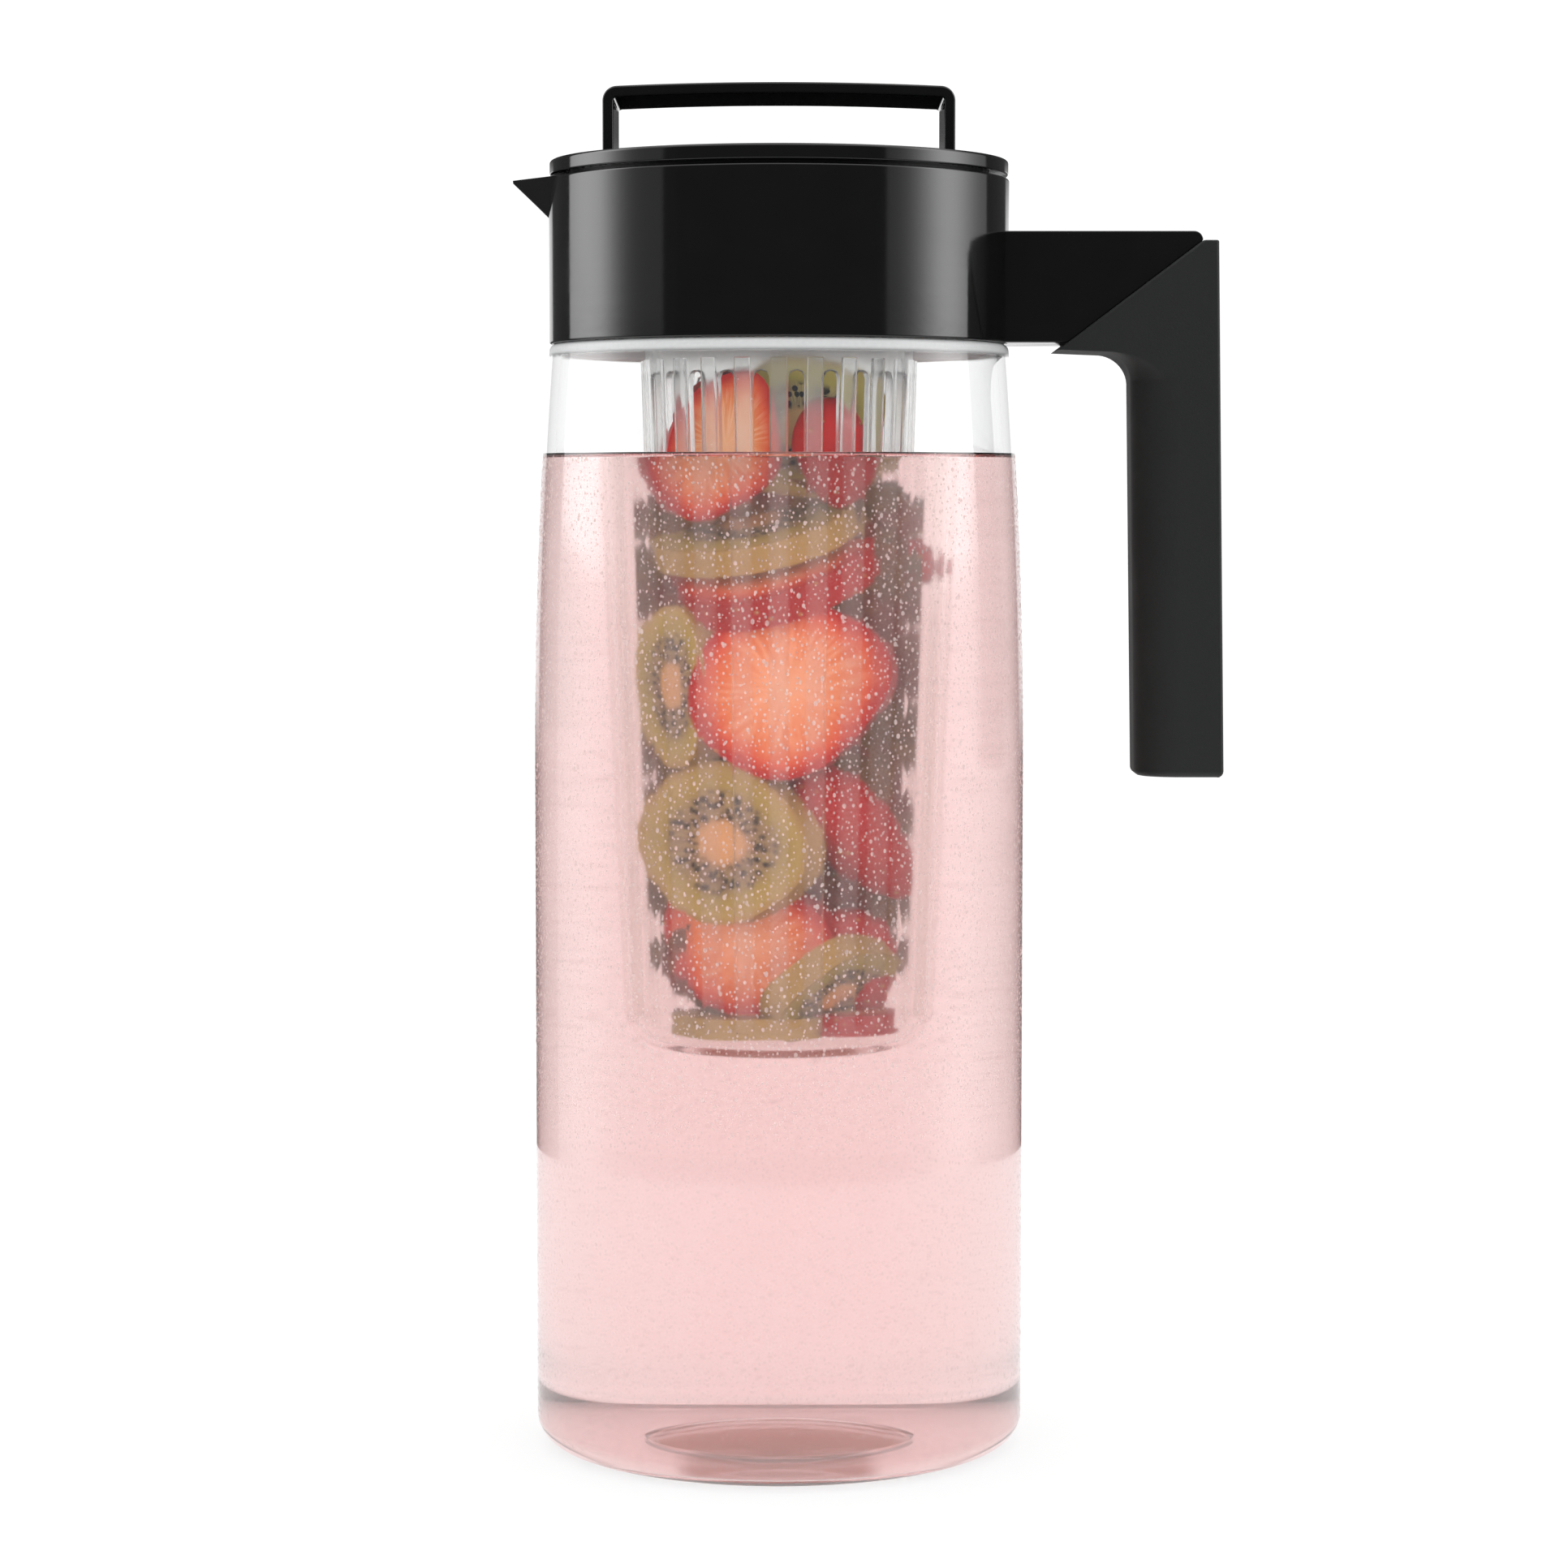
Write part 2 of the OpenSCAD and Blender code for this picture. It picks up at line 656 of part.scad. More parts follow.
// Hollow plug: roof, sealing skirt with its pour window, and the spigot in the jar's neck
module lid_plug() {
    outline = [
        [0, lid_z0],
        [0, roof_z0],
        [skirt_in_r, roof_z0],
        [skirt_in_r, flange_z1],
        [spigot_in_r, flange_z0],
        [spigot_in_r, spigot_z0],
        [spigot_r, spigot_z0],
        [spigot_r, groove_z0],
        [groove_r, groove_z0],
        [groove_r, groove_z1],
        [spigot_r, groove_z1],
        [spigot_r, flange_z0],
        [plug_r, flange_z0],
        [plug_r, flange_z1],
        [skirt_r, flange_z1],
        [skirt_r, roof_z0],
        [plug_r, roof_z0],
        [plug_r, lid_z0]
    ];
    color([0.1, 0.1, 0.1]) difference() {
        turned(outline);
        pour_window();
        at_screws() translate([0, 0, -over])
            cylinder(r = boss_r + fit_gap, h = roof_t + 2 * over);
    }
}

// Threaded socket for the basket, welded under the plug's roof
module basket_socket() {
    outline = [
        [basket_neck_in_r, roof_z0],
        [basket_neck_in_r, step_z0],
        [socket_r, step_z0],
        [socket_r, socket_z0],
        [socket_out_r, socket_z0],
        [socket_out_r, step_z1],
        [step_out_r, step_z1],
        [step_out_r, roof_z0]
    ];
    color([0.12, 0.12, 0.12]) union() {
        turned(outline);
        ridges(socket_crest_r, socket_r + ridge_root, thread_pitch / 2);
    }
}

// Cross-slotted screws that hold the plug to the cap
module lid_screws() {
    color([0.75, 0.75, 0.77]) at_screws() difference() {
        union() {
            translate([0, 0, -screw_head_h]) cylinder(r = screw_head_d / 2, h = screw_head_h);
            cylinder(r = screw_r, h = screw_len);
        }
        for (turn = [0, 90])
            rotate([0, 0, turn])
                translate([-screw_head_d / 4, -screw_slot_w / 2, -screw_head_h - over])
                    cube([screw_head_d / 2, screw_slot_w, screw_slot_h + over]);
    }
}

// Silicone sleeve round the plug's skirt, with the same pour window
module pour_seal() {
    color([0.72, 0.73, 0.73]) difference() {
        ring(plug_r, skirt_r, flange_z1, roof_z0);
        pour_window();
    }
}

// O-ring that grips the jar's neck; the plug turns inside it
module plug_ring() {
    color([0.72, 0.73, 0.73])
        rotate_extrude() translate([ring_r, ring_z]) circle(r = ring_cord_r);
}

// Silicone washer on the rim of the basket's neck
module basket_washer() {
    color([0.72, 0.73, 0.73]) ring(washer_r, basket_neck_in_r, washer_z0, washer_z1);
}

// Radius of the basket's wall at height z
function wall_r(z) =
    basket_floor_r + (basket_top_r - basket_floor_r) * (z - basket_z0) / basket_h;

// Cutter for one slot, with round ends
module slot() {
    from = basket_floor_r / 2;
    reach = basket_top_r + rib_t + over;
    rotate([0, 0, -slot_angle / 2])
        turned([[from, slot_z0], [reach, slot_z0], [reach, slot_z1], [from, slot_z1]], slot_angle);
    for (z = [slot_z0, slot_z1])
        translate([from, 0, z]) rotate([0, 90, 0])
            cylinder(r = wall_r(z) * sin(slot_angle / 2), h = reach - from);
}

// One rib on the outside of the wall
module rib() {
    root = basket_wall / 2;
    rotate([0, 0, (slot_pitch - rib_angle) / 2])
        turned([
            [wall_r(rib_z0) - root, rib_z0],
            [wall_r(rib_z0) + rib_t, rib_z0],
            [wall_r(rib_z1) + rib_t, rib_z1],
            [wall_r(rib_z1) - root, rib_z1]
        ], rib_angle);
}

// Slotted cup for the fruit, with ribs outside and a threaded neck
module infuser_basket() {
    round_centre = [basket_floor_r - basket_round, basket_z0 + basket_round];
    inner_round = basket_round - basket_wall;
    inner_centre = [round_centre[0], basket_z0 + basket_floor_t + inner_round];
    outside = concat(
        [[0, basket_z0]],
        arc(round_centre, basket_round, -90, -basket_taper, corner_steps),
        [
            [basket_top_r, shoulder_z],
            [basket_neck_r, shoulder_z],
            [basket_neck_r, basket_neck_z1]
        ]);
    inside = concat(
        [
            [basket_neck_in_r, basket_neck_z1],
            [basket_neck_in_r, shoulder_z - rib_band / 2],
            [wall_r(rib_z1) - basket_wall, rib_z1]
        ],
        arc(inner_centre, inner_round, -basket_taper, -90, corner_steps),
        [[0, basket_z0 + basket_floor_t]]);
    color([0.84, 0.85, 0.84, 0.6]) difference() {
        union() {
            turned(concat(outside, inside));
            for (i = [0:slot_n - 1])
                rotate([0, 0, slot_turn + i * slot_pitch]) rib();
            ridges(basket_neck_r - ridge_root, crest_r, 0);
        }
        for (i = [0:slot_n - 1])
            rotate([0, 0, slot_turn + i * slot_pitch]) slot();
    }
}

jar();
collar();
neck_gasket();
handle_frame();
grip();
lid_cap();
lid_loop();
lid_plug();
basket_socket();
lid_screws();
pour_seal();
plug_ring();
basket_washer();
infuser_basket();
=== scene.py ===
"""Looks of the fruit infuser pitcher: clear jar, black collar and lid, soft grip, slotted basket,
cut fruit in a pale pink drink, and condensation on the outside. Metres, in the part's own frame."""

import math
import random

import bmesh
import bpy
import numpy as np
from mathutils import Matrix, Vector


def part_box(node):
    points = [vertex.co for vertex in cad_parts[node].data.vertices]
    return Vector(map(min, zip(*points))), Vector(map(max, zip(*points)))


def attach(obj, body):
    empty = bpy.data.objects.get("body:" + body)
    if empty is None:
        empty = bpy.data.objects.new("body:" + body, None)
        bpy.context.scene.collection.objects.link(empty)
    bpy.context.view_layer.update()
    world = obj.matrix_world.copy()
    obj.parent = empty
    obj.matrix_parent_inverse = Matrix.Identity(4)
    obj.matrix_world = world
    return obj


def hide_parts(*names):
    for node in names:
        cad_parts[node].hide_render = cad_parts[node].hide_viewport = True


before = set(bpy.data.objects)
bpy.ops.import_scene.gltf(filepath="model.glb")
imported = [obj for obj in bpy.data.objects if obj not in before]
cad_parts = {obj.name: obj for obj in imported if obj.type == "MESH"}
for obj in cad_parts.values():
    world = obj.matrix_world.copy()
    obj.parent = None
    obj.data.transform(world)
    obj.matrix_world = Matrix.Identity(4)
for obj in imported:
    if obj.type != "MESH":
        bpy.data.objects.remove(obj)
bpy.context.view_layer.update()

# Sizes read from the frame
_, jar_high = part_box("jar")
collar_low, collar_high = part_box("collar")
_, cap_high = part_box("lid_cap")
_, loop_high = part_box("lid_loop")
basket_low, basket_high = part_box("infuser_basket")
grip_low, grip_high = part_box("grip")

# Jar
JAR_R = jar_high.x
JAR_WALL = 0.0026
STRAIGHT_Z = 0.150
WALL_Z0, WALL_STEPS = STRAIGHT_Z / 2, 24
SHOULDER_ROUND = 0.0016
FOOT_ROUND = 0.006
FLOOR_ROUND = 0.0034
FLOOR_T = 0.0024
PUNT_R = 0.022
PUNT_H = 0.004
NECK_R = 0.0465
NECK_WALL = 0.0024
BEAD_Z, BEAD_W, BEAD_T = 0.2512, 0.0024, 0.0007
COLLAR_R = collar_high.y
COLLAR_Z0, COLLAR_Z1 = collar_low.z, collar_high.z
SHOULDER_Z = COLLAR_Z0 - SHOULDER_ROUND
DRAW_IN = JAR_R - COLLAR_R
DRAW_H = SHOULDER_Z - STRAIGHT_Z
NECK_BLEND_H = DRAW_H / 80
DRAW_RHO = (DRAW_H**2 + DRAW_IN**2) / (2 * DRAW_IN)
PUNT_RHO = (PUNT_R**2 + PUNT_H**2) / (2 * PUNT_H)
PUNT_CENTRE = (0, PUNT_H - PUNT_RHO)

# Drink
DRINK_Z = 0.2180
DRINK_LAP = 0.0003
MENISCUS_H, MENISCUS_W, MENISCUS_FALL = 0.0012, 0.0016, 1.6
MENISCUS_STEPS = (0, 0.2, 0.5, 1, 1.8, 3, 5)

# Where the clear pieces change, by height
COLD_EDGE, WET_EDGE = 0.001, 0.0004
MIST_Z0, MIST_Z1 = 0.02, 0.15
ETCH_START, ETCH_FULL = SHOULDER_Z - 0.0016, SHOULDER_Z - 0.0002
DROPS_FADE_Z0, DROPS_FADE_Z1, DROPS_LEAST = 0.06, 0.10, 0.25

# Condensation: one drop at most in each cell of the wall
DROP_CELL, DROP_CHANCE = 0.0012, 0.85
DROPS_Z0, DROPS_Z1 = 0.004, DRINK_Z + 0.001
DROP_R, DROP_SPREAD, DROP_R_LEAST, DROP_R_MOST = 0.0002, 0.36, 0.0001, 0.00048
DROP_STRETCH = 1.5
DROP_DOME = 0.24
DROP_LIFT = 0.000005
DROPS_PER_PIECE = 8000

# Collar and lid
COLLAR_IN_R = 0.0466
BORE_R = 0.0462
LEDGE_R = 0.0443
LEDGE_Z0, LEDGE_Z1 = 0.2668, 0.2690
EDGE = 0.0005
SPOUT_TIP_X = collar_low.x
SPOUT_BLUNT = 0.0006
SPOUT_DROP = 0.0082
SPOUT_HALF_W = 0.016
SPOUT_KEEL_R = 0.004
SPOUT_WALL = 0.0016
SPOUT_SHIFT = SPOUT_WALL * 1.6
SPOUT_APEX_X = SPOUT_TIP_X - SPOUT_BLUNT
SPOUT_ROOT_X = -math.sqrt(COLLAR_R**2 - SPOUT_HALF_W**2)
SPOUT_LENGTH = SPOUT_ROOT_X - SPOUT_APEX_X
CAP_R = cap_high.x
CAP_Z1 = cap_high.z
CAP_Z0 = CAP_Z1 - 0.0032
CAP_EDGE = 0.0007
LOOP_T = 0.0024
LOOP_CORNER = 0.0032
LOOP_ARCH = 0.0008
LOOP_SINK, LOOP_EDGE = 0.0005, 0.0005

# Handle
ARM_Z0, ARM_Z1 = COLLAR_Z0 + 0.0001, COLLAR_Z0 + 0.0242
ARM_X1 = COLLAR_R + 0.0416
ARM_HALF_W = 0.012
ARM_CORNER = 0.002
ARM_SINK, ARM_EDGE = 0.0025, 0.0006
SEAM_SLOPE = math.tan(math.radians(37))
SEAM_Z1 = ARM_Z1 - ARM_CORNER
LIP_Z0 = ARM_Z0 - 0.002
GRIP_HALF_W = grip_high.y
GRIP_X1 = ARM_X1 + 0.0034
GRIP_BAR_D = 0.0191
GRIP_LEAN = math.tan(math.radians(0.9))
GRIP_Z0 = grip_low.z
GRIP_HOLLOW_R = 0.0065
GRIP_FINGER_X, GRIP_FINGER_Y = 0.010, 0.0085
GRIP_EDGE = 0.0008
GRIP_END_EDGE, GRIP_SEAM_EDGE = 0.0014, 0.0004
BAR_STEPS, HOLLOW_STEPS = 8, 12

# Basket
BASKET_Z0, BASKET_NECK_Z1 = basket_low.z, basket_high.z
BASKET_SHOULDER_Z = 0.2442
BASKET_TOP_R, BASKET_FLOOR_R = 0.0297, 0.0245
BASKET_WALL = 0.0017
BASKET_ROUND = 0.006
BASKET_NECK_R = 0.0284
THREAD_DEPTH = 0.0012
THREAD_Z0, THREAD_H, THREAD_LEAD, THREAD_N = 0.2463, 0.0084, 0.018, 3
THREAD_ROOT_W, THREAD_CREST_W, THREAD_STEPS = 0.0024, 0.0012, 30
SLOT_N = 24
SLOT_SHARE, RIB_SHARE = 0.47, 0.44
SLOT_ROWS = 12
SLOT_BOW = 0.7
RIB_T = 0.0009
RIB_REACH = 0.0006
BASKET_EDGE = 0.0002
SLOT_Z1 = BASKET_SHOULDER_Z - 0.009
RIB_Z1 = BASKET_SHOULDER_Z - 0.0047

# Fruit slices: corners round the rim, and the steps from rim to middle
SLICE_CORNERS = 48
SLICE_RINGS = (0.04, 0.16, 0.25, 0.25)
SLICE_WAVES = 3

# Studio and camera
FLOOR_R, FLOOR_DROP = 0.42, 0.0004
CAMERA_AT = (0.0011, -0.8987, 0.2104)
CAMERA_TILT = 4.0835
CAMERA_LENS = 93.2

# Meshing
ROUND_STEPS = 192
SHARP = math.radians(40)
SNAP = 0.0003


class Socket:
    """One output of a shader node; arithmetic on it adds Math nodes."""

    def __init__(self, shader, out):
        self.shader, self.out = shader, out

    def math(self, operation, *values):
        return self.shader.node("ShaderNodeMath", {"operation": operation}, dict(enumerate(values)))

    def __add__(self, other):
        return self.math("ADD", self, other)

    __radd__ = __add__

    def __sub__(self, other):
        return self.math("SUBTRACT", self, other)

    def __rsub__(self, other):
        return self.math("SUBTRACT", other, self)

    def __mul__(self, other):
        return self.math("MULTIPLY", self, other)

    __rmul__ = __mul__

    def __truediv__(self, other):
        return self.math("DIVIDE", self, other)

    def __neg__(self):
        return self * -1

    def sqrt(self):
        return self.math("SQRT", self)

    def exp(self):
        return self.math("EXPONENT", self)

    def sin(self):
        return self.math("SINE", self)

    def angle_from(self, other):
        return self.math("ARCTAN2", self, other)

    def outputs(self):
        """Every output of this socket's node, by name."""
        return {out.name: Socket(self.shader, out) for out in self.out.node.outputs}

    def smooth(self, low, high):
        """0 below low, 1 above high, an even blend between them."""
        return self.shader.node(
            "ShaderNodeMapRange",
            {"interpolation_type": "SMOOTHSTEP"},
            {"Value": self, "From Min": low, "From Max": high},
        )


class Shader:
    """An empty node tree of a material or of the world."""

    def __init__(self, owner):
        owner.use_nodes = True
        self.tree = owner.node_tree
        self.tree.nodes.clear()

    def node(self, kind, settings=None, inputs=None, out=0):
        made = self.tree.nodes.new(kind)
        for key, value in (settings or {}).items():
            if key == "stops":
                self.set_stops(made.color_ramp.elements, value)
            else:
                setattr(made, key, value)
        for key, value in (inputs or {}).items():
            if isinstance(value, Socket):
                self.tree.links.new(value.out, made.inputs[key])
            else:
                made.inputs[key].default_value = value
        return Socket(self, made.outputs[out])

    @staticmethod
    def set_stops(elements, stops):
        while len(elements) < len(stops):
            elements.new(1)
        for element, (place, colour) in zip(elements, stops):
            element.position, element.color = place, (*colour, 1)

    def place(self, kind="Object"):
        return self.node("ShaderNodeTexCoord", out=kind)

    def parts(self, vector):
        return list(self.node("ShaderNodeSeparateXYZ", {}, {"Vector": vector}).outputs().values())

    def noise(self, vector, scale, detail=2.0):
        return self.node("ShaderNodeTexNoise", {}, {"Vector": vector, "Scale": scale, "Detail": detail})

    def ramp(self, value, stops):
        return self.node("ShaderNodeValToRGB", {"stops": stops}, {"Fac": value})

    def blend(self, share, a, b):
        """Colours a and b mixed by share."""
        a, b = (colour if isinstance(colour, Socket) else (*colour, 1) for colour in (a, b))
        return self.node("ShaderNodeMix", {"data_type": "RGBA"}, {0: share, 6: a, 7: b}, 2)

    def mix(self, share, a, b):
        """Shaders a and b mixed by share."""
        return self.node("ShaderNodeMixShader", {}, {0: share, 1: a, 2: b})

    def bump(self, height, distance, strength):
        return self.node(
            "ShaderNodeBump", {}, {"Height": height, "Distance": distance, "Strength": strength}
        )

    def principled(self, **sockets):
        names = {key.replace("_", " "): value for key, value in sockets.items()}
        return self.node("ShaderNodeBsdfPrincipled", {}, names)

    def surface(self, shader, volume=None):
        links = {"Surface": shader}
        if volume is not None:
            links["Volume"] = volume
        self.node_end("ShaderNodeOutputMaterial", links)

    def node_end(self, kind, links):
        made = self.tree.nodes.new(kind)
        for key, value in links.items():
            self.tree.links.new(value.out, made.inputs[key])


def material(name):
    made = bpy.data.materials.new(name)
    return made, Shader(made)


def clear_plastic():
    """Clear gloss plastic: faint flow marks, fog on the cold wall that goes over to a thin mist
    towards the foot, and an etched neck."""
    made, s = material("clear_plastic")
    place = s.place()
    z = s.parts(place)[2]
    cold = 1 - z.smooth(DRINK_Z - COLD_EDGE, DRINK_Z + COLD_EDGE)
    patch = s.noise(place, 60, 3).smooth(0.35, 0.7)
    below = 1 - z.smooth(MIST_Z0, MIST_Z1)
    tint = s.blend(s.noise(place, 35), (0.985, 0.99, 0.992), (1.0, 1.0, 1.0))
    dry = s.principled(Base_Color=tint, Roughness=0.004, IOR=1.52, Transmission_Weight=1.0)
    fogged = s.principled(
        Base_Color=(1.0, 0.988, 0.983, 1),
        Roughness=patch * 0.03 + 0.085,
        IOR=1.52,
        Transmission_Weight=0.985,
    )
    mist_tint = s.blend(patch, (1.0, 0.98, 0.975), (1.0, 0.99, 0.985))
    misted = s.principled(Base_Color=mist_tint, Roughness=0.035, IOR=1.52, Transmission_Weight=0.94)
    clear = s.mix(cold, dry, s.mix(below, fogged, misted))
    etch = s.blend(s.noise(place, 1200, 3), (0.80, 0.81, 0.81), (0.93, 0.94, 0.94))
    etched = s.principled(Base_Color=etch, Roughness=0.45, IOR=1.5, Transmission_Weight=0.25)
    s.surface(s.mix(z.smooth(ETCH_START, ETCH_FULL), clear, etched))
    return made


def drink_liquid():
    """Pale pink water that tints with depth."""
    made, s = material("pink_drink")
    pulp = s.noise(s.place(), 90, 4).smooth(0.3, 0.8)
    tint = s.blend(pulp, (1.0, 1.0, 1.0), (1.0, 0.985, 0.982))
    surface = s.principled(Base_Color=tint, Roughness=0.0, IOR=1.333, Transmission_Weight=1.0)
    depth = s.node("ShaderNodeVolumeAbsorption", {}, {"Color": (0.94, 0.06, 0.035, 1), "Density": 4.3})
    s.surface(surface, depth)
    return made


def bead_painted_glint():
    """Fine condensation: pale pink dots of painted highlight that show most in front of dark things;
    their seats are clear.
    """
    made, s = material("bead_painted_glint")
    place = s.place()
    # Painted highlight: pale pink in place of clear water, standing for each drop's glint and the pink
    # drink seen through it
    pale = s.blend(s.noise(place, 300), (1.0, 0.77, 0.74), (1.0, 0.87, 0.84))
    z = s.parts(place)[2]
    dome = s.parts(s.place("UV"))[0]
    cover = s.noise(place, 500).smooth(0.3, 0.7) * 0.25 + 0.4
    fade = z.smooth(DROPS_FADE_Z0, DROPS_FADE_Z1) * (1 - DROPS_LEAST) + DROPS_LEAST
    face = s.principled(Base_Color=pale, Roughness=0.5, Specular_IOR_Level=0.0)
    glow = s.node("ShaderNodeBsdfTranslucent", {}, {"Color": pale})
    gap = s.node("ShaderNodeBsdfTransparent")
    s.surface(s.mix(cover * dome * fade, gap, s.mix(0.3, face, glow)))
    return made


def frosted_plastic():
    """Lightly frosted clear plastic; below the drink its edges bend light far less."""
    made, s = material("frosted_plastic")
    place = s.place()
    z = s.parts(place)[2]
    wet = 1 - z.smooth(DRINK_Z - WET_EDGE, DRINK_Z + WET_EDGE)
    grain = s.noise(place, 900, 3)
    dry_tint = s.blend(grain, (0.97, 0.98, 0.97), (0.995, 1.0, 0.995))
    dry = s.principled(
        Base_Color=dry_tint, Roughness=grain * 0.1 + 0.2, IOR=1.25, Transmission_Weight=0.94
    )
    wet_tint = s.blend(grain, (0.985, 0.975, 0.965), (1.0, 0.995, 0.99))
    drenched = s.principled(
        Base_Color=wet_tint,
        Roughness=grain * 0.05 + 0.04,
        IOR=1.02,
        Transmission_Weight=0.96,
        Specular_IOR_Level=0.2,
    )
    s.surface(s.mix(wet, dry, drenched))
    return made


def gloss_black():
    """Gloss black moulded plastic with fine rub marks."""
    made, s = material("gloss_black")
    place = s.place()
    rub = s.noise(s.node("ShaderNodeMapping", {}, {"Vector": place, "Scale": (40, 40, 900)}), 1.0, 3)
    smudge = s.noise(place, 45, 3).smooth(0.45, 0.75)
    tone = s.blend(s.noise(place, 120), (0.0045, 0.0045, 0.0047), (0.0062, 0.0062, 0.0062))
    peel = s.bump(s.noise(place, 500), 0.00002, 0.25)
    s.surface(
        s.principled(
            Base_Color=tone, Roughness=smudge * 0.05 + rub * 0.05 + 0.05, IOR=1.5, Normal=peel
        )
    )
    return made


def satin_black():
    """Fine-grained satin black of the lid's inner pieces."""
    made, s = material("satin_black")
    place = s.place()
    grain = s.noise(place, 1800, 3)
    tone = s.blend(grain, (0.008, 0.008, 0.0085), (0.016, 0.016, 0.0165))
    s.surface(
        s.principled(
            Base_Color=tone, Roughness=grain * 0.12 + 0.34, Normal=s.bump(grain, 0.00003, 0.4)
        )
    )
    return made


def matte_black():
    """Spark-eroded matte black, for the loop's underside."""
    made, s = material("matte_black")
    grain = s.noise(s.place(), 2400, 4)
    tone = s.blend(grain, (0.005, 0.005, 0.005), (0.010, 0.010, 0.010))
    s.surface(
        s.principled(
            Base_Color=tone,
            Roughness=0.8,
            Specular_IOR_Level=0.02,
            Normal=s.bump(grain, 0.00004, 0.4),
        )
    )
    return made


def soft_touch():
    """Matte charcoal skin with a fine leathery grain and rubbed patches."""
    made, s = material("soft_touch")
    place = s.place()
    grain = s.noise(place, 2600, 4)
    rubbed = s.noise(place, 38, 4).smooth(0.4, 0.75)
    tone = s.blend(grain, (0.0095, 0.0107, 0.0103), (0.016, 0.018, 0.0175))
    worn = s.blend(rubbed * 0.35, tone, (0.022, 0.0245, 0.0238))
    s.surface(
        s.principled(
            Base_Color=worn,
            Roughness=0.62 - rubbed * 0.1,
            IOR=1.45,
            Sheen_Weight=0.06,
            Normal=s.bump(grain, 0.00006, 0.35),
        )
    )
    return made


def silicone():
    """Dull grey silicone with a little dust."""
    made, s = material("silicone")
    place = s.place()
    dust = s.noise(place, 700, 4)
    tone = s.blend(dust, (0.50, 0.51, 0.51), (0.62, 0.63, 0.63))
    s.surface(
        s.principled(
            Base_Color=tone, Roughness=dust * 0.15 + 0.4, IOR=1.41, Normal=s.bump(dust, 0.00003, 0.3)
        )
    )
    return made


def screw_steel():
    """Plain steel with turning marks."""
    made, s = material("screw_steel")
    place = s.place()
    turned = s.noise(s.node("ShaderNodeMapping", {}, {"Vector": place, "Scale": (900, 900, 6000)}), 1.0)
    tone = s.blend(turned, (0.45, 0.45, 0.46), (0.68, 0.68, 0.69))
    s.surface(s.principled(Base_Color=tone, Metallic=1.0, Roughness=turned * 0.2 + 0.22))
    return made


def slice_polar(s):
    """Radius (1 at the rim), angle, and a vector for thin radial streaks, from a slice's UV map."""
    u, v = (part * 2 - 1 for part in s.parts(s.place("UV"))[:2])
    radius = (u * u + v * v).sqrt()
    angle = v.angle_from(u)
    polar = s.node("ShaderNodeCombineXYZ", {}, {0: angle.sin() * 6, 1: (angle * 2).sin() * 6, 2: radius})
    return radius, angle, polar


def strawberry():
    """Cut strawberry: pale core, salmon flesh with pale veins, red rim and seeded skin."""
    made, s = material("strawberry")
    place = s.place()
    radius, _, polar = slice_polar(s)
    vein = s.noise(polar, 2.2, 3).smooth(0.42, 0.62)
    mottle = s.noise(place, 160, 3)
    flesh = s.ramp(
        radius + (mottle - 0.5) * 0.22,
        [
            (0.0, (0.86, 0.46, 0.25)),
            (0.28, (0.84, 0.36, 0.17)),
            (0.60, (0.80, 0.24, 0.08)),
            (0.82, (0.72, 0.10, 0.035)),
            (0.95, (0.50, 0.015, 0.012)),
        ],
    )
    veined = s.blend(vein * (1 - radius.smooth(0.5, 0.9)) * 0.55, flesh, (0.92, 0.56, 0.36))
    pips = s.node("ShaderNodeTexVoronoi", {}, {"Vector": place, "Scale": 330.0})
    skin = radius.smooth(0.965, 0.99)
    pip = (1 - pips.smooth(0.1, 0.18)) * skin
    red = s.blend(skin, veined, (0.46, 0.012, 0.012))
    s.surface(
        s.principled(
            Base_Color=s.blend(pip, red, (0.50, 0.27, 0.07)),
            Roughness=0.34 - pip * 0.1,
            Specular_IOR_Level=0.06,
            Normal=s.bump(mottle - pip * 1.5, 0.0006, 0.5),
        )
    )
    return made


def kiwi():
    """Cut kiwi: cream core, ring of dark seeds, olive flesh with pale rays and a thin brown rim."""
    made, s = material("kiwi")
    place = s.place()
    radius, angle, polar = slice_polar(s)
    ray = s.noise(polar, 3.2, 2).smooth(0.4, 0.65)
    mottle = s.noise(place, 200, 3)
    flesh = s.ramp(
        radius + (mottle - 0.5) * 0.06,
        [
            (0.0, (0.74, 0.46, 0.21)),
            (0.24, (0.68, 0.42, 0.18)),
            (0.35, (0.27, 0.185, 0.115)),
            (0.56, (0.30, 0.215, 0.115)),
            (0.70, (0.42, 0.345, 0.085)),
            (0.90, (0.49, 0.395, 0.12)),
            (0.97, (0.45, 0.32, 0.10)),
        ],
    )
    ring = radius.smooth(0.26, 0.34) * (1 - radius.smooth(0.58, 0.68))
    rays = s.blend(ray * ring * 0.5, flesh, (0.56, 0.48, 0.17))
    spread = s.node("ShaderNodeCombineXYZ", {}, {0: angle * 5.4, 1: radius * 7.5, 2: 0.0})
    cell = s.node("ShaderNodeTexVoronoi", {"voronoi_dimensions": "2D"}, {"Vector": spread, "Scale": 1.0})
    seed = (1 - cell.smooth(0.26, 0.38)) * ring
    s.surface(
        s.principled(
            Base_Color=s.blend(seed, rays, (0.012, 0.010, 0.012)),
            Roughness=0.3,
            Specular_IOR_Level=0.06,
            Normal=s.bump(mottle + seed, 0.0004, 0.5),
        )
    )
    return made


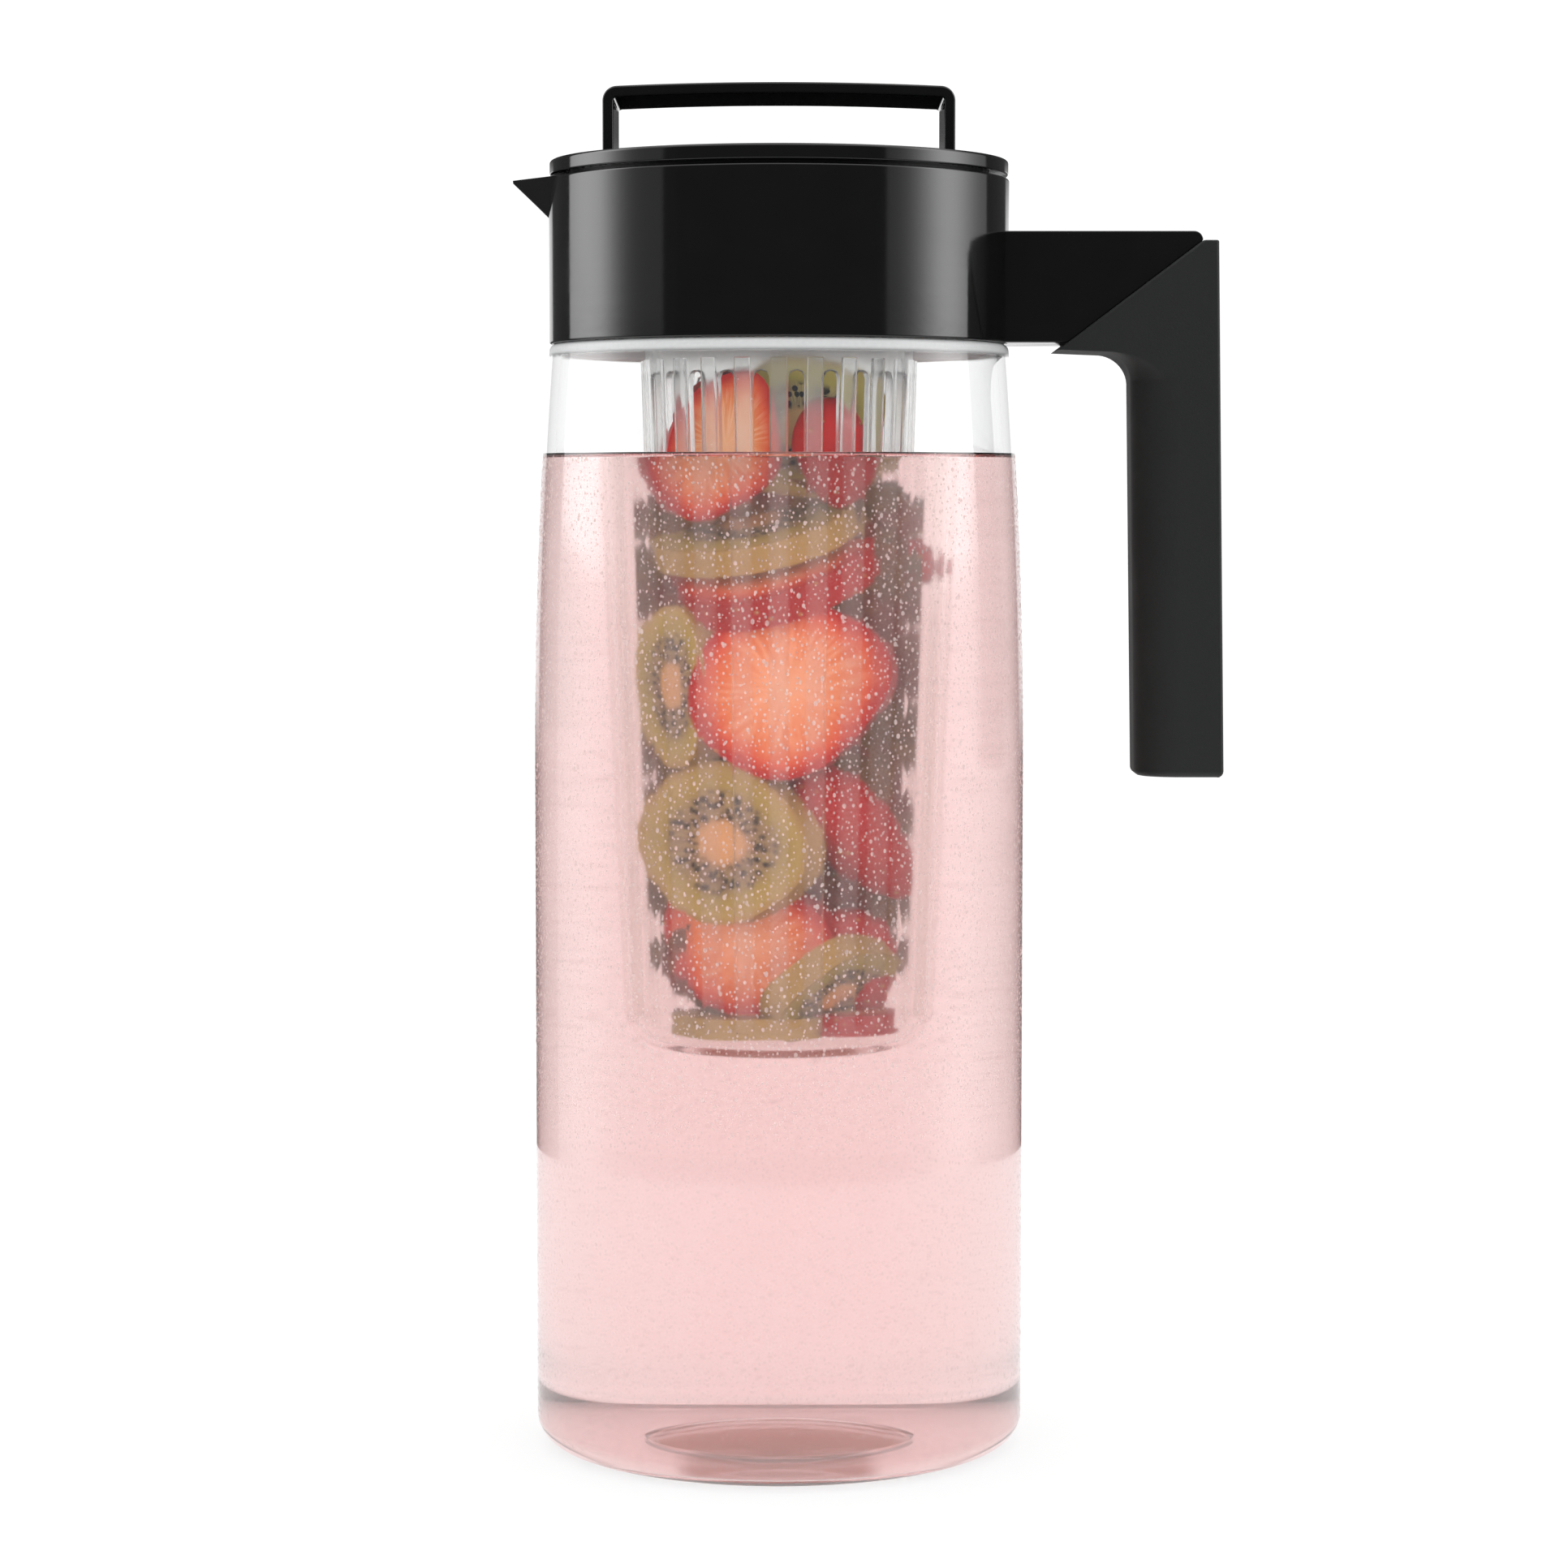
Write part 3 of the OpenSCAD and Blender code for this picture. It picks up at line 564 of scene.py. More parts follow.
def shade_painted_fruit():
    """Fruit deep in the pile: olive, brown and wine red, darkened as painted shade."""
    made, s = material("shade_painted_fruit")
    place = s.place()
    patch = s.noise(place, 70, 2).smooth(0.45, 0.58)
    grain = s.noise(place, 420, 3)
    # Painted shade: both colours are fruit colours darkened to stand for the shade deep in the pile
    tone = s.blend(patch, (0.170, 0.085, 0.028), (0.200, 0.042, 0.026))
    shaded_fibre = s.blend(grain.smooth(0.5, 0.75) * 0.6, tone, (0.32, 0.19, 0.07))
    bump = s.bump(grain, 0.0006, 0.5)
    s.surface(s.principled(Base_Color=shaded_fibre, Roughness=0.5, Specular_IOR_Level=0.06, Normal=bump))
    return made


def pale_floor():
    """White table that glows from below, so that shadows on it stay faint."""
    made, s = material("pale_floor")
    tone = s.blend(s.noise(s.place(), 3.0), (0.30, 0.30, 0.30), (0.32, 0.32, 0.32))
    s.surface(
        s.principled(
            Base_Color=tone,
            Roughness=0.9,
            Specular_IOR_Level=0.0,
            Emission_Color=(1, 1, 1, 1),
            Emission_Strength=0.76,
        )
    )
    return made


def arc(centre, r, start, end, steps=10):
    """Points of an arc, angles in degrees."""
    angles = [math.radians(start + (end - start) * i / steps) for i in range(steps + 1)]
    return [(centre[0] + r * math.cos(a), centre[1] + r * math.sin(a)) for a in angles]


def lathe(outline, steps=ROUND_STEPS, closed=False):
    """Turns an outline of (radius, height) points about the Z axis."""
    bm = bmesh.new()
    verts = [bm.verts.new((r, 0, z)) for r, z in outline]
    ends = verts[1:] + (verts[:1] if closed else [])
    edges = [bm.edges.new(pair) for pair in zip(verts, ends)]
    bmesh.ops.spin(
        bm,
        geom=verts + edges,
        axis=(0, 0, 1),
        cent=(0, 0, 0),
        angle=2 * math.pi,
        steps=steps,
        use_merge=True,
    )
    bmesh.ops.remove_doubles(bm, verts=bm.verts, dist=1e-7)
    bmesh.ops.recalc_face_normals(bm, faces=bm.faces)
    return bm


def side_prism(outline, half_w):
    """Side outline of (x, z) points, drawn out to both sides of Y = 0."""
    bm = bmesh.new()
    face = bm.faces.new([bm.verts.new((x, -half_w, z)) for x, z in outline])
    drawn = bmesh.ops.extrude_face_region(bm, geom=[face], use_keep_orig=True)["geom"]
    far = [v for v in drawn if isinstance(v, bmesh.types.BMVert)]
    bmesh.ops.translate(bm, verts=far, vec=(0, 2 * half_w, 0))
    bmesh.ops.recalc_face_normals(bm, faces=bm.faces)
    return bm


def soften(bm, width):
    """Rounds every sharp edge."""
    sharp = [e for e in bm.edges if len(e.link_faces) == 2 and e.calc_face_angle() > SHARP]
    bmesh.ops.bevel(
        bm,
        geom=sharp,
        offset=width,
        segments=3,
        profile=0.5,
        affect="EDGES",
        material=-1,
        clamp_overlap=True,
    )
    return bm


def loose_object(name, bm):
    """An object of its own, made from a bmesh that is then let go."""
    mesh = bpy.data.meshes.new(name)
    bm.to_mesh(mesh)
    bm.free()
    made = bpy.data.objects.new(name, mesh)
    bpy.context.scene.collection.objects.link(made)
    return made


def combined(bm, *steps):
    """Adds or cuts closed meshes, in order: each step is (operation, bmesh)."""
    base = loose_object("base", bm)
    tools = []
    for operation, other in steps:
        tool = loose_object("tool", other)
        tools.append(tool)
        modifier = base.modifiers.new("joined", "BOOLEAN")
        modifier.operation, modifier.solver, modifier.object = operation, "EXACT", tool
    made = bmesh.new()
    made.from_object(base, bpy.context.evaluated_depsgraph_get())
    for temporary in [base, *tools]:
        bpy.data.meshes.remove(temporary.data)
    return made


def piece(name, bm, finish, body, replaces=(), sharp=35, even=False):
    """A finished piece: smooth but for its sharp edges, riding on a body."""
    made = loose_object(name, bm)
    made.data.materials.append(finish)
    if sharp:
        made.data.shade_smooth()
        made.data.set_sharp_from_angle(angle=math.radians(sharp))
    if even:
        flat_faces = made.modifiers.new("flat_faces", "WEIGHTED_NORMAL")
        flat_faces.keep_sharp = True
    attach(made, body)
    if replaces:
        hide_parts(*replaces)
    return made


def jar_r(z):
    """Outer radius of the jar's wall at height z."""
    if z <= STRAIGHT_Z:
        return JAR_R
    return JAR_R - DRAW_RHO + math.sqrt(DRAW_RHO**2 - (z - STRAIGHT_Z) ** 2)


def wall_points(z1, offset):
    """Points up the jar's wall to height z1, moved in or out by offset."""
    heights = [WALL_Z0 + (z1 - WALL_Z0) * i / WALL_STEPS for i in range(WALL_STEPS + 1)]
    return [(jar_r(z) + offset, z) for z in heights]


def floor_points(offset):
    """Inside of the floor from the axis to the wall; offset lowers it into the floor."""
    dome_r = PUNT_RHO + FLOOR_T - offset
    floor_z = FLOOR_T - offset
    edge = math.degrees(math.asin((floor_z - PUNT_CENTRE[1]) / dome_r))
    in_r = JAR_R - JAR_WALL
    corner = (in_r - FLOOR_ROUND, FLOOR_T + FLOOR_ROUND)
    return arc(PUNT_CENTRE, dome_r, 90, edge, 16) + arc(corner, FLOOR_ROUND + offset, -90, 0)


def jar():
    """Clear vessel: hollow under the floor, drawn-in shoulder, and a neck with a snap bead."""
    neck_in = NECK_R - NECK_WALL
    blend_z = SHOULDER_Z - NECK_BLEND_H
    foot = (JAR_R - FOOT_ROUND, FOOT_ROUND)
    punt_edge = math.degrees(math.asin(-PUNT_CENTRE[1] / PUNT_RHO))
    outside = (
        arc(PUNT_CENTRE, PUNT_RHO, 90, punt_edge, 16)
        + arc(foot, FOOT_ROUND, -90, 0, 14)
        + wall_points(SHOULDER_Z, 0)
        + arc((COLLAR_R - SHOULDER_ROUND, SHOULDER_Z), SHOULDER_ROUND, 0, 90)
        + [(NECK_R, COLLAR_Z0), (NECK_R, BEAD_Z - BEAD_W / 2)]
        + [(NECK_R + BEAD_T, BEAD_Z - BEAD_W / 4), (NECK_R + BEAD_T, BEAD_Z + BEAD_W / 4)]
        + [(NECK_R, BEAD_Z + BEAD_W / 2), (NECK_R, jar_high.z)]
    )
    inside = (
        floor_points(0)
        + wall_points(blend_z, -JAR_WALL)
        + [(neck_in, COLLAR_Z0), (neck_in, jar_high.z)]
    )
    bm = lathe(outside + inside[::-1])
    return piece("jar_clear", bm, CLEAR, "pitcher", ["jar"], sharp=12)


def drink():
    """The drink, lapping a little into the wall, with its surface drawn up at the edge."""
    wall = wall_points(DRINK_Z, DRINK_LAP - JAR_WALL)
    rim_r = wall[-1][0]
    rise = []
    for d in (MENISCUS_W * step for step in MENISCUS_STEPS):
        rise.append((rim_r - d, DRINK_Z + MENISCUS_H * math.exp(-d / MENISCUS_W * MENISCUS_FALL)))
    bm = lathe(floor_points(DRINK_LAP) + wall[:-1] + rise + [(0, DRINK_Z)])
    return piece("drink", bm, DRINK, "pitcher", sharp=12)


def spout_form(shift, lift, near, far):
    """Rounded V between two distances from the spout's point, moved in and up for the channel."""
    slope = SPOUT_DROP / (-COLLAR_R - SPOUT_APEX_X)
    bm = bmesh.new()
    for d in (near, far):
        half, keel = SPOUT_HALF_W * d / SPOUT_LENGTH, SPOUT_KEEL_R * d / SPOUT_LENGTH
        x, top = SPOUT_APEX_X + shift + d, COLLAR_Z1 + lift
        for y in (-half, half):
            bm.verts.new((x, y, top))
        for y, z in arc((0, top - slope * d + keel), keel, 180, 360, 12):
            bm.verts.new((x, y, z))
    hull = bmesh.ops.convex_hull(bm, input=bm.verts)
    bmesh.ops.delete(bm, geom=hull["geom_interior"], context="VERTS")
    bmesh.ops.recalc_face_normals(bm, faces=bm.faces)
    return bm


def collar():
    """Ring on the neck with a ledge over the jar's rim, and the spout with its channel."""
    ring = (
        arc((COLLAR_R - EDGE, COLLAR_Z0 + EDGE), EDGE, -90, 0, 6)
        + arc((COLLAR_R - EDGE, COLLAR_Z1 - EDGE), EDGE, 0, 90, 6)
        + [(BORE_R, COLLAR_Z1), (BORE_R, LEDGE_Z1), (LEDGE_R, LEDGE_Z1), (LEDGE_R, LEDGE_Z0)]
        + [(COLLAR_IN_R, LEDGE_Z0), (COLLAR_IN_R, COLLAR_Z0)]
    )
    spout = spout_form(0, 0, SPOUT_BLUNT, SPOUT_LENGTH)
    channel = spout_form(SPOUT_SHIFT, EDGE / 2, SPOUT_BLUNT, SPOUT_LENGTH + SPOUT_WALL)
    bm = combined(lathe(ring, closed=True), ("UNION", spout), ("DIFFERENCE", channel))
    return piece("collar_ring", bm, GLOSS, "pitcher", ["collar"], sharp=25, even=True)


def lid_cap():
    """Flat round cover."""
    under = CAP_EDGE / 2
    outline = (
        [(0, CAP_Z0)]
        + arc((CAP_R - under, CAP_Z0 + under), under, -90, 0, 5)
        + arc((CAP_R - CAP_EDGE, CAP_Z1 - CAP_EDGE), CAP_EDGE, 0, 90, 6)
        + [(0, CAP_Z1)]
    )
    return piece("lid_cover", lathe(outline), GLOSS, "lid", ["lid_cap"], even=True)


def loop_face(inset):
    """One face of the loop's strap, from leg to leg."""
    half, top = loop_high.x, loop_high.z
    crown = half - LOOP_CORNER
    rho = (crown**2 + LOOP_ARCH**2) / (2 * LOOP_ARCH)
    corner_z = top - LOOP_ARCH - LOOP_CORNER
    middle = [crown * (i / 10 - 1) for i in range(1, 20)]
    return (
        arc((-crown, corner_z), LOOP_CORNER - inset, 180, 90)
        + [(x, top - inset - rho + math.sqrt(rho**2 - x**2)) for x in middle]
        + arc((crown, corner_z), LOOP_CORNER - inset, 90, 0)
    )


def lid_loop():
    """Strap that stands on the cover; its underside is matte."""
    half, foot_z = loop_high.x, CAP_Z1 - LOOP_SINK
    strap = (
        [(-half, foot_z)]
        + loop_face(0)
        + [(half, foot_z), (half - LOOP_T, foot_z)]
        + loop_face(LOOP_T)[::-1]
        + [(LOOP_T - half, foot_z)]
    )
    bm = soften(side_prism(strap, loop_high.y), LOOP_EDGE)
    bm.normal_update()
    for face in bm.faces:
        faces_down = face.normal.z < -0.8
        face.material_index = int(faces_down and face.calc_center_median().z > CAP_Z1)
    made = piece("lid_handle_loop", bm, GLOSS, "lid", ["lid_loop"], even=True)
    made.data.materials.append(MATTE)
    return made


def seam_x(z):
    """Slanted seam between the arm and the grip."""
    return ARM_X1 - (SEAM_Z1 - z) / SEAM_SLOPE


def arm():
    """Gloss arm from the collar to the seam."""
    root = COLLAR_R - ARM_SINK
    outline = (
        [(root, ARM_Z0), (seam_x(ARM_Z0), ARM_Z0)]
        + arc((ARM_X1 - ARM_CORNER, SEAM_Z1), ARM_CORNER, 0, 90)
        + [(root, ARM_Z1)]
    )
    bm = soften(side_prism(outline, ARM_HALF_W), ARM_EDGE)
    return piece("handle_arm", bm, GLOSS, "pitcher", ["handle_frame"], even=True)


def lean_x(z):
    """How far the grip leans out at height z."""
    return (SEAM_Z1 - z) * GRIP_LEAN


def grip():
    """Soft skin in one flow: a wedge against the arm, a hollow under it, and a bar that is rounder
    on the finger side."""
    hollow_z = LIP_Z0 - GRIP_HOLLOW_R
    bar_x0 = GRIP_X1 - GRIP_BAR_D
    slim = GRIP_EDGE
    levels = []
    for i in range(BAR_STEPS + 1):
        z = GRIP_Z0 + (hollow_z - GRIP_Z0) * i / BAR_STEPS
        levels.append((z, bar_x0 + lean_x(z), GRIP_FINGER_X, GRIP_FINGER_Y))
    hollow_x = bar_x0 + lean_x(hollow_z) - GRIP_HOLLOW_R
    hollow = arc((hollow_x, hollow_z), GRIP_HOLLOW_R, 0, 90, HOLLOW_STEPS)
    for i, (x, z) in enumerate(hollow[1:], 1):
        left = 1 - i / HOLLOW_STEPS
        levels.append((z, x, slim + (GRIP_FINGER_X - slim) * left, slim + (GRIP_FINGER_Y - slim) * left))
    for z in (LIP_Z0 + slim / 2, (LIP_Z0 + SEAM_Z1) / 2, SEAM_Z1):
        levels.append((z, seam_x(z), slim, slim))
    bm = bmesh.new()
    rings = []
    for z, x0, rx, ry in levels:
        x1 = GRIP_X1 + lean_x(z)
        corners = [
            (x0 + rx, GRIP_HALF_W - ry, rx, ry, 90),
            (x0 + rx, ry - GRIP_HALF_W, rx, ry, 180),
            (x1 - slim, slim - GRIP_HALF_W, slim, slim, 270),
            (x1 - slim, GRIP_HALF_W - slim, slim, slim, 0),
        ]
        ring = []
        for cx, cy, wide, deep, start in corners:
            for px, py in arc((0, 0), 1, start, start + 90):
                ring.append(bm.verts.new((cx + wide * px, cy + deep * py, z)))
        rings.append(ring)
    for low, high in zip(rings, rings[1:]):
        for i in range(len(low)):
            j = (i + 1) % len(low)
            bm.faces.new((low[i], low[j], high[j], high[i]))
    bm.faces.new(rings[0])
    bm.faces.new(rings[-1])
    bmesh.ops.recalc_face_normals(bm, faces=bm.faces)
    for z, width in ((GRIP_Z0, GRIP_END_EDGE), (SEAM_Z1, GRIP_SEAM_EDGE)):
        edges = [e for e in bm.edges if all(abs(v.co.z - z) < 1e-6 for v in e.verts)]
        bmesh.ops.bevel(
            bm, geom=edges, offset=width, segments=4, profile=0.5, affect="EDGES", material=-1
        )
    return piece("grip_skin", bm, GRIP, "pitcher", ["grip"], sharp=32, even=True)


def basket():
    """Cup with slots and ribs all round: a lathed skin, cut into slots, thickened, then ribbed."""
    pitch = 2 * math.pi / SLOT_N
    slot, rib = pitch * SLOT_SHARE / 2, pitch * RIB_SHARE / 2
    bow = SLOT_BOW * slot
    columns = [-slot, -bow, 0, bow, slot, pitch / 2 - rib, pitch / 2, pitch / 2 + rib]
    across = len(columns)
    taper = math.degrees(math.atan((BASKET_TOP_R - BASKET_FLOOR_R) / (BASKET_SHOULDER_Z - BASKET_Z0)))
    rib_z0 = BASKET_Z0 + BASKET_ROUND
    end_r = BASKET_FLOOR_R * math.sin(slot)
    slot_z0 = rib_z0 + end_r + EDGE

    def wall_r(z):
        share = (z - BASKET_Z0) / (BASKET_SHOULDER_Z - BASKET_Z0)
        return BASKET_FLOOR_R + (BASKET_TOP_R - BASKET_FLOOR_R) * share

    rows = [slot_z0 + (SLOT_Z1 - slot_z0) * i / SLOT_ROWS for i in range(SLOT_ROWS + 1)] + [RIB_Z1]
    outline = (
        [(0, BASKET_Z0)]
        + arc((BASKET_FLOOR_R - BASKET_ROUND, rib_z0), BASKET_ROUND, -90, -taper, 8)
        + [(wall_r(z), z) for z in rows]
        + [(BASKET_TOP_R, BASKET_SHOULDER_Z), (BASKET_NECK_R, BASKET_SHOULDER_Z)]
        + [(BASKET_NECK_R, BASKET_NECK_Z1)]
    )
    bm = lathe(outline, steps=SLOT_N * across)
    step = 2 * math.pi / (SLOT_N * across)
    column_of = {}
    for v in bm.verts:
        r = math.hypot(v.co.x, v.co.y)
        if r < 1e-6:
            continue
        k = round(math.atan2(v.co.y, v.co.x) / step) % (SLOT_N * across)
        column_of[v] = k % across
        a = pitch * (k // across + 0.5) + columns[k % across]
        v.co.x, v.co.y = r * math.cos(a), r * math.sin(a)

    def in_slot(face):
        inside = all(column_of.get(v, across) <= 4 for v in face.verts)
        return inside and all(slot_z0 - SNAP <= v.co.z <= SLOT_Z1 + SNAP for v in face.verts)

    def in_rib(face):
        inside = all(column_of.get(v, 0) >= 5 for v in face.verts)
        return inside and all(rib_z0 - RIB_REACH <= v.co.z <= RIB_Z1 + SNAP for v in face.verts)

    rib_spots = [f.calc_center_median().copy() for f in bm.faces if in_rib(f)]
    bmesh.ops.delete(bm, geom=[f for f in bm.faces if in_slot(f)], context="FACES")
    for v, column in column_of.items():
        if not v.is_valid or column not in (1, 2, 3):
            continue
        bulge = end_r * (1 if column == 2 else math.sqrt(1 - SLOT_BOW**2))
        for z, way in ((slot_z0, -1), (SLOT_Z1, 1)):
            if abs(v.co.z - z) < SNAP:
                v.co.z += way * bulge
    bmesh.ops.recalc_face_normals(bm, faces=bm.faces)
    bmesh.ops.solidify(bm, geom=bm.faces[:], thickness=BASKET_WALL)
    bmesh.ops.recalc_face_normals(bm, faces=bm.faces)
    spots = {tuple(round(c, 5) for c in spot) for spot in rib_spots}
    outer = [f for f in bm.faces if tuple(round(c, 5) for c in f.calc_center_median()) in spots]
    drawn = bmesh.ops.extrude_face_region(bm, geom=outer)["geom"]
    for v in drawn:
        if isinstance(v, bmesh.types.BMVert):
            v.co += Vector((v.co.x, v.co.y, 0)).normalized() * RIB_T
    thread(bm)
    made = piece("fruit_basket", bm, FROSTED, "basket", ["infuser_basket"])
    soft = made.modifiers.new("soft_edges", "BEVEL")
    soft.width, soft.segments = BASKET_EDGE, 2
    soft.limit_method, soft.angle_limit = "ANGLE", SHARP
    return made


def thread(bm):
    """Three helical ridges round the basket's neck."""
    root, crest = BASKET_NECK_R - THREAD_DEPTH / 3, BASKET_NECK_R + THREAD_DEPTH
    low, high = THREAD_ROOT_W, THREAD_CREST_W
    climb = THREAD_H - low
    turn = 2 * math.pi * climb / THREAD_LEAD
    for i in range(THREAD_N):
        outline = [(root, 0), (crest, (low - high) / 2), (crest, (low + high) / 2), (root, low)]
        verts = [bm.verts.new((r, 0, THREAD_Z0 + z)) for r, z in outline]
        bmesh.ops.rotate(bm, verts=verts, matrix=Matrix.Rotation(2 * math.pi * i / THREAD_N, 3, "Z"))
        face = bm.faces.new(verts)
        bmesh.ops.spin(
            bm,
            geom=[face, *verts, *face.edges],
            axis=(0, 0, 1),
            cent=(0, 0, 0),
            dvec=(0, 0, climb / THREAD_STEPS),
            angle=turn,
            steps=THREAD_STEPS,
        )


def smooth_copy(node, finish, body):
    """A carried-over node with its triangles joined, so that its round faces shade smoothly."""
    bm = bmesh.new()
    bm.from_mesh(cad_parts[node].data)
    bmesh.ops.remove_doubles(bm, verts=bm.verts, dist=1e-6)
    return piece(node + "_smooth", bm, finish, body, [node])


def fruit_slice(name, finish, size, thick, place, turn, point=0.0, uneven=1.0):
    """A round slice with a wavy rim; its UV map is a disc, and point narrows it to one side."""
    bm = bmesh.new()
    bmesh.ops.create_circle(bm, cap_ends=True, segments=SLICE_CORNERS, radius=1)
    for step in SLICE_RINGS:
        inner = max(bm.faces, key=lambda f: len(f.verts))
        bmesh.ops.inset_region(bm, faces=[inner], thickness=step)
    inner = max(bm.faces, key=lambda f: len(f.verts))
    bmesh.ops.poke(bm, faces=[inner])
    drawn = bmesh.ops.extrude_face_region(bm, geom=bm.faces[:], use_keep_orig=True)["geom"]
    far = [v for v in drawn if isinstance(v, bmesh.types.BMVert)]
    bmesh.ops.translate(bm, verts=far, vec=(0, 0, 1))
    bmesh.ops.recalc_face_normals(bm, faces=bm.faces)
    chart = bm.loops.layers.uv.new("slice")
    for face in bm.faces:
        for loop in face.loops:
            loop[chart].uv = (loop.vert.co.x / 2 + 0.5, loop.vert.co.y / 2 + 0.5)
    draw = random.Random(name)
    waves = []
    for _ in range(SLICE_WAVES):
        waves.append((draw.uniform(0.01, 0.035), draw.randint(2, 5), draw.uniform(0, 6.28)))
    for v in bm.verts:
        x, y, z = v.co
        a = math.atan2(y, x)
        grow = 1 + uneven * sum(w * math.sin(n * a + p) for w, n, p in waves)
        narrow = 1 - point * (1 - y) ** 2 / 4
        bulge = 1 - 0.08 * (2 * z - 1) ** 2
        v.co.x = x * size[0] * grow * narrow * bulge
        v.co.y = y * size[1] * grow * bulge
        v.co.z = (z - 0.5) * thick
    bmesh.ops.transform(bm, verts=bm.verts, matrix=Matrix.Translation(place) @ turn.to_4x4())
    return piece(name, bm, finish, "basket", sharp=50)


def facing(yaw, lean, pitch, roll):
    """Turn of a slice that stands facing the front: yaw about Z, lean to the side, pitch back, roll."""
    stand = Matrix.Rotation(math.pi / 2, 3, "X")
    return (
        Matrix.Rotation(math.radians(yaw), 3, "Z")
        @ Matrix.Rotation(math.radians(lean), 3, "Y")
        @ Matrix.Rotation(math.radians(pitch), 3, "X")
        @ stand
        @ Matrix.Rotation(math.radians(roll), 3, "Z")
    )


def berry(name, size, place, turn):
    """A whole strawberry, narrowing to its tip; its map lies on the rim, so it is all skin."""
    bm = bmesh.new()
    bmesh.ops.create_uvsphere(bm, u_segments=40, v_segments=24, radius=1)
    chart = bm.loops.layers.uv.new("slice")
    for face in bm.faces:
        for loop in face.loops:
            loop[chart].uv = (1.0, 0.5)
    for v in bm.verts:
        x, y, z = v.co
        narrow = 1 - 0.4 * ((1 - z) / 2) ** 2
        v.co = (x * size[0] * narrow, y * size[0] * narrow, z * size[1])
    bmesh.ops.transform(bm, verts=bm.verts, matrix=Matrix.Translation(place) @ turn.to_4x4())
    return piece(name, bm, STRAWBERRY, "basket", sharp=180)


def fruit():
    """Cut fruit in the basket: seen slices, filling behind them painted dark as shade, and whole berries.
    """
    S, K = STRAWBERRY, KIWI
    # Name, finish, half sizes, thickness, place, turn, narrowing
    slices = [
        ("strawberry_top", S, (0.0138, 0.018), 0.006, (-0.0121, -0.012, 0.2212), (12, 0, 6, 166), 0.15),
        ("kiwi_top", K, (0.0205, 0.0170), 0.006, (0.0050, -0.0010, 0.2245), (-4, 0, -6, 20), 0.0),
        ("kiwi_tilted", K, (0.0195, 0.0165), 0.006, (-0.0040, -0.0050, 0.2015), (-4, -13, -68, 0), 0.0),
        ("strawberry_tilted", S, (0.0215, 0.018), 0.007, (0, -0.005, 0.193), (-2, -15, -64, 30), 0.1),
        ("strawberry_big", S, (0.0208, 0.0215), 0.007, (0.0014, -0.0140, 0.1680), (-4, 0, -4, -28), 0.3),
        ("kiwi_front", K, (0.0178, 0.0192), 0.006, (-0.0084, -0.0090, 0.1348), (-30, 0, -2, 30), 0.0),
        ("strawberry_low", S, (0.0180, 0.0166), 0.006, (-0.0048, -0.0052, 0.1124), (-16, 0, 4, -20), 0.2),
        ("kiwi_low", K, (0.0145, 0.0135), 0.006, (0.0085, -0.0100, 0.1035), (6, -40, 58, 10), 0.0),
        ("kiwi_left", K, (0.0100, 0.0190), 0.006, (-0.0165, -0.0075, 0.1690), (-52, 0, 3, 0), 0.0),
        ("kiwi_back", K, (0.0180, 0.0200), 0.008, (0.0010, 0.0150, 0.1580), (0, 0, -6, 0), 0.0),
        ("strawberry_back", S, (0.0170, 0.0190), 0.008, (0.0010, 0.0140, 0.2060), (8, 0, 4, 150), 0.2),
        ("kiwi_back_low", K, (0.0165, 0.0180), 0.008, (0.0010, 0.0130, 0.1150), (-6, 0, 4, 0), 0.0),
    ]
    for name, finish, size, thick, place, turn, point in slices:
        fruit_slice(name, finish, size, thick, place, facing(*turn), point)
    # Height, half width, half height
    fillings = [
        (0.1090, 0.0224, 0.0150),
        (0.1245, 0.0230, 0.0260),
        (0.1410, 0.0234, 0.0260),
        (0.1575, 0.0242, 0.0260),
        (0.1740, 0.0246, 0.0260),
        (0.1905, 0.0253, 0.0260),
        (0.2040, 0.0256, 0.0140),
    ]
    # The filling pieces carry painted shade: darkened fruit colours for the gaps deep in the pile
    for i, (z, reach, half_h) in enumerate(fillings):
        place = (0, 0.0015 + 0.002 * (i % 2), z)
        turn = facing(5 - 10 * (i % 3), 0, 8, 0)
        fruit_slice(f"filling_{i}", SHADE_PAINTED_FRUIT, (reach, half_h), 0.009, place, turn, uneven=0.3)
    flat = Matrix.Identity(3)
    fruit_slice("kiwi_floor", K, (0.0145, 0.0135), 0.0045, (-0.0048, -0.0060, 0.0948), flat)
    fruit_slice("strawberry_floor", S, (0.0088, 0.0120), 0.0045, (0.0124, -0.0040, 0.0952), flat)
    # Painted shade on the floor filling as well
    fruit_slice("filling_floor", SHADE_PAINTED_FRUIT, (0.0165, 0.0110), 0.004, (0, 0.0075, 0.0945), flat)
    berries = [
        ("berry_top", (0.0088, 0.0125), (0.0108, -0.0140, 0.2190), (0, 0, 12, 0)),
        ("berry_middle", (0.0092, 0.0170), (0.0128, -0.0060, 0.1370), (0, 8, 0, 40)),
        ("berry_low", (0.0090, 0.0125), (0.0125, -0.0020, 0.1080), (20, -14, 10, 0)),
        ("berry_behind", (0.0095, 0.0150), (0.0130, 0.0060, 0.1960), (0, 10, 8, 90)),
    ]
    for name, size, place, (yaw, lean, pitch, roll) in berries:
        upright = facing(yaw, lean, pitch, roll) @ Matrix.Rotation(-math.pi / 2, 3, "X")
        berry(name, size, place, upright)


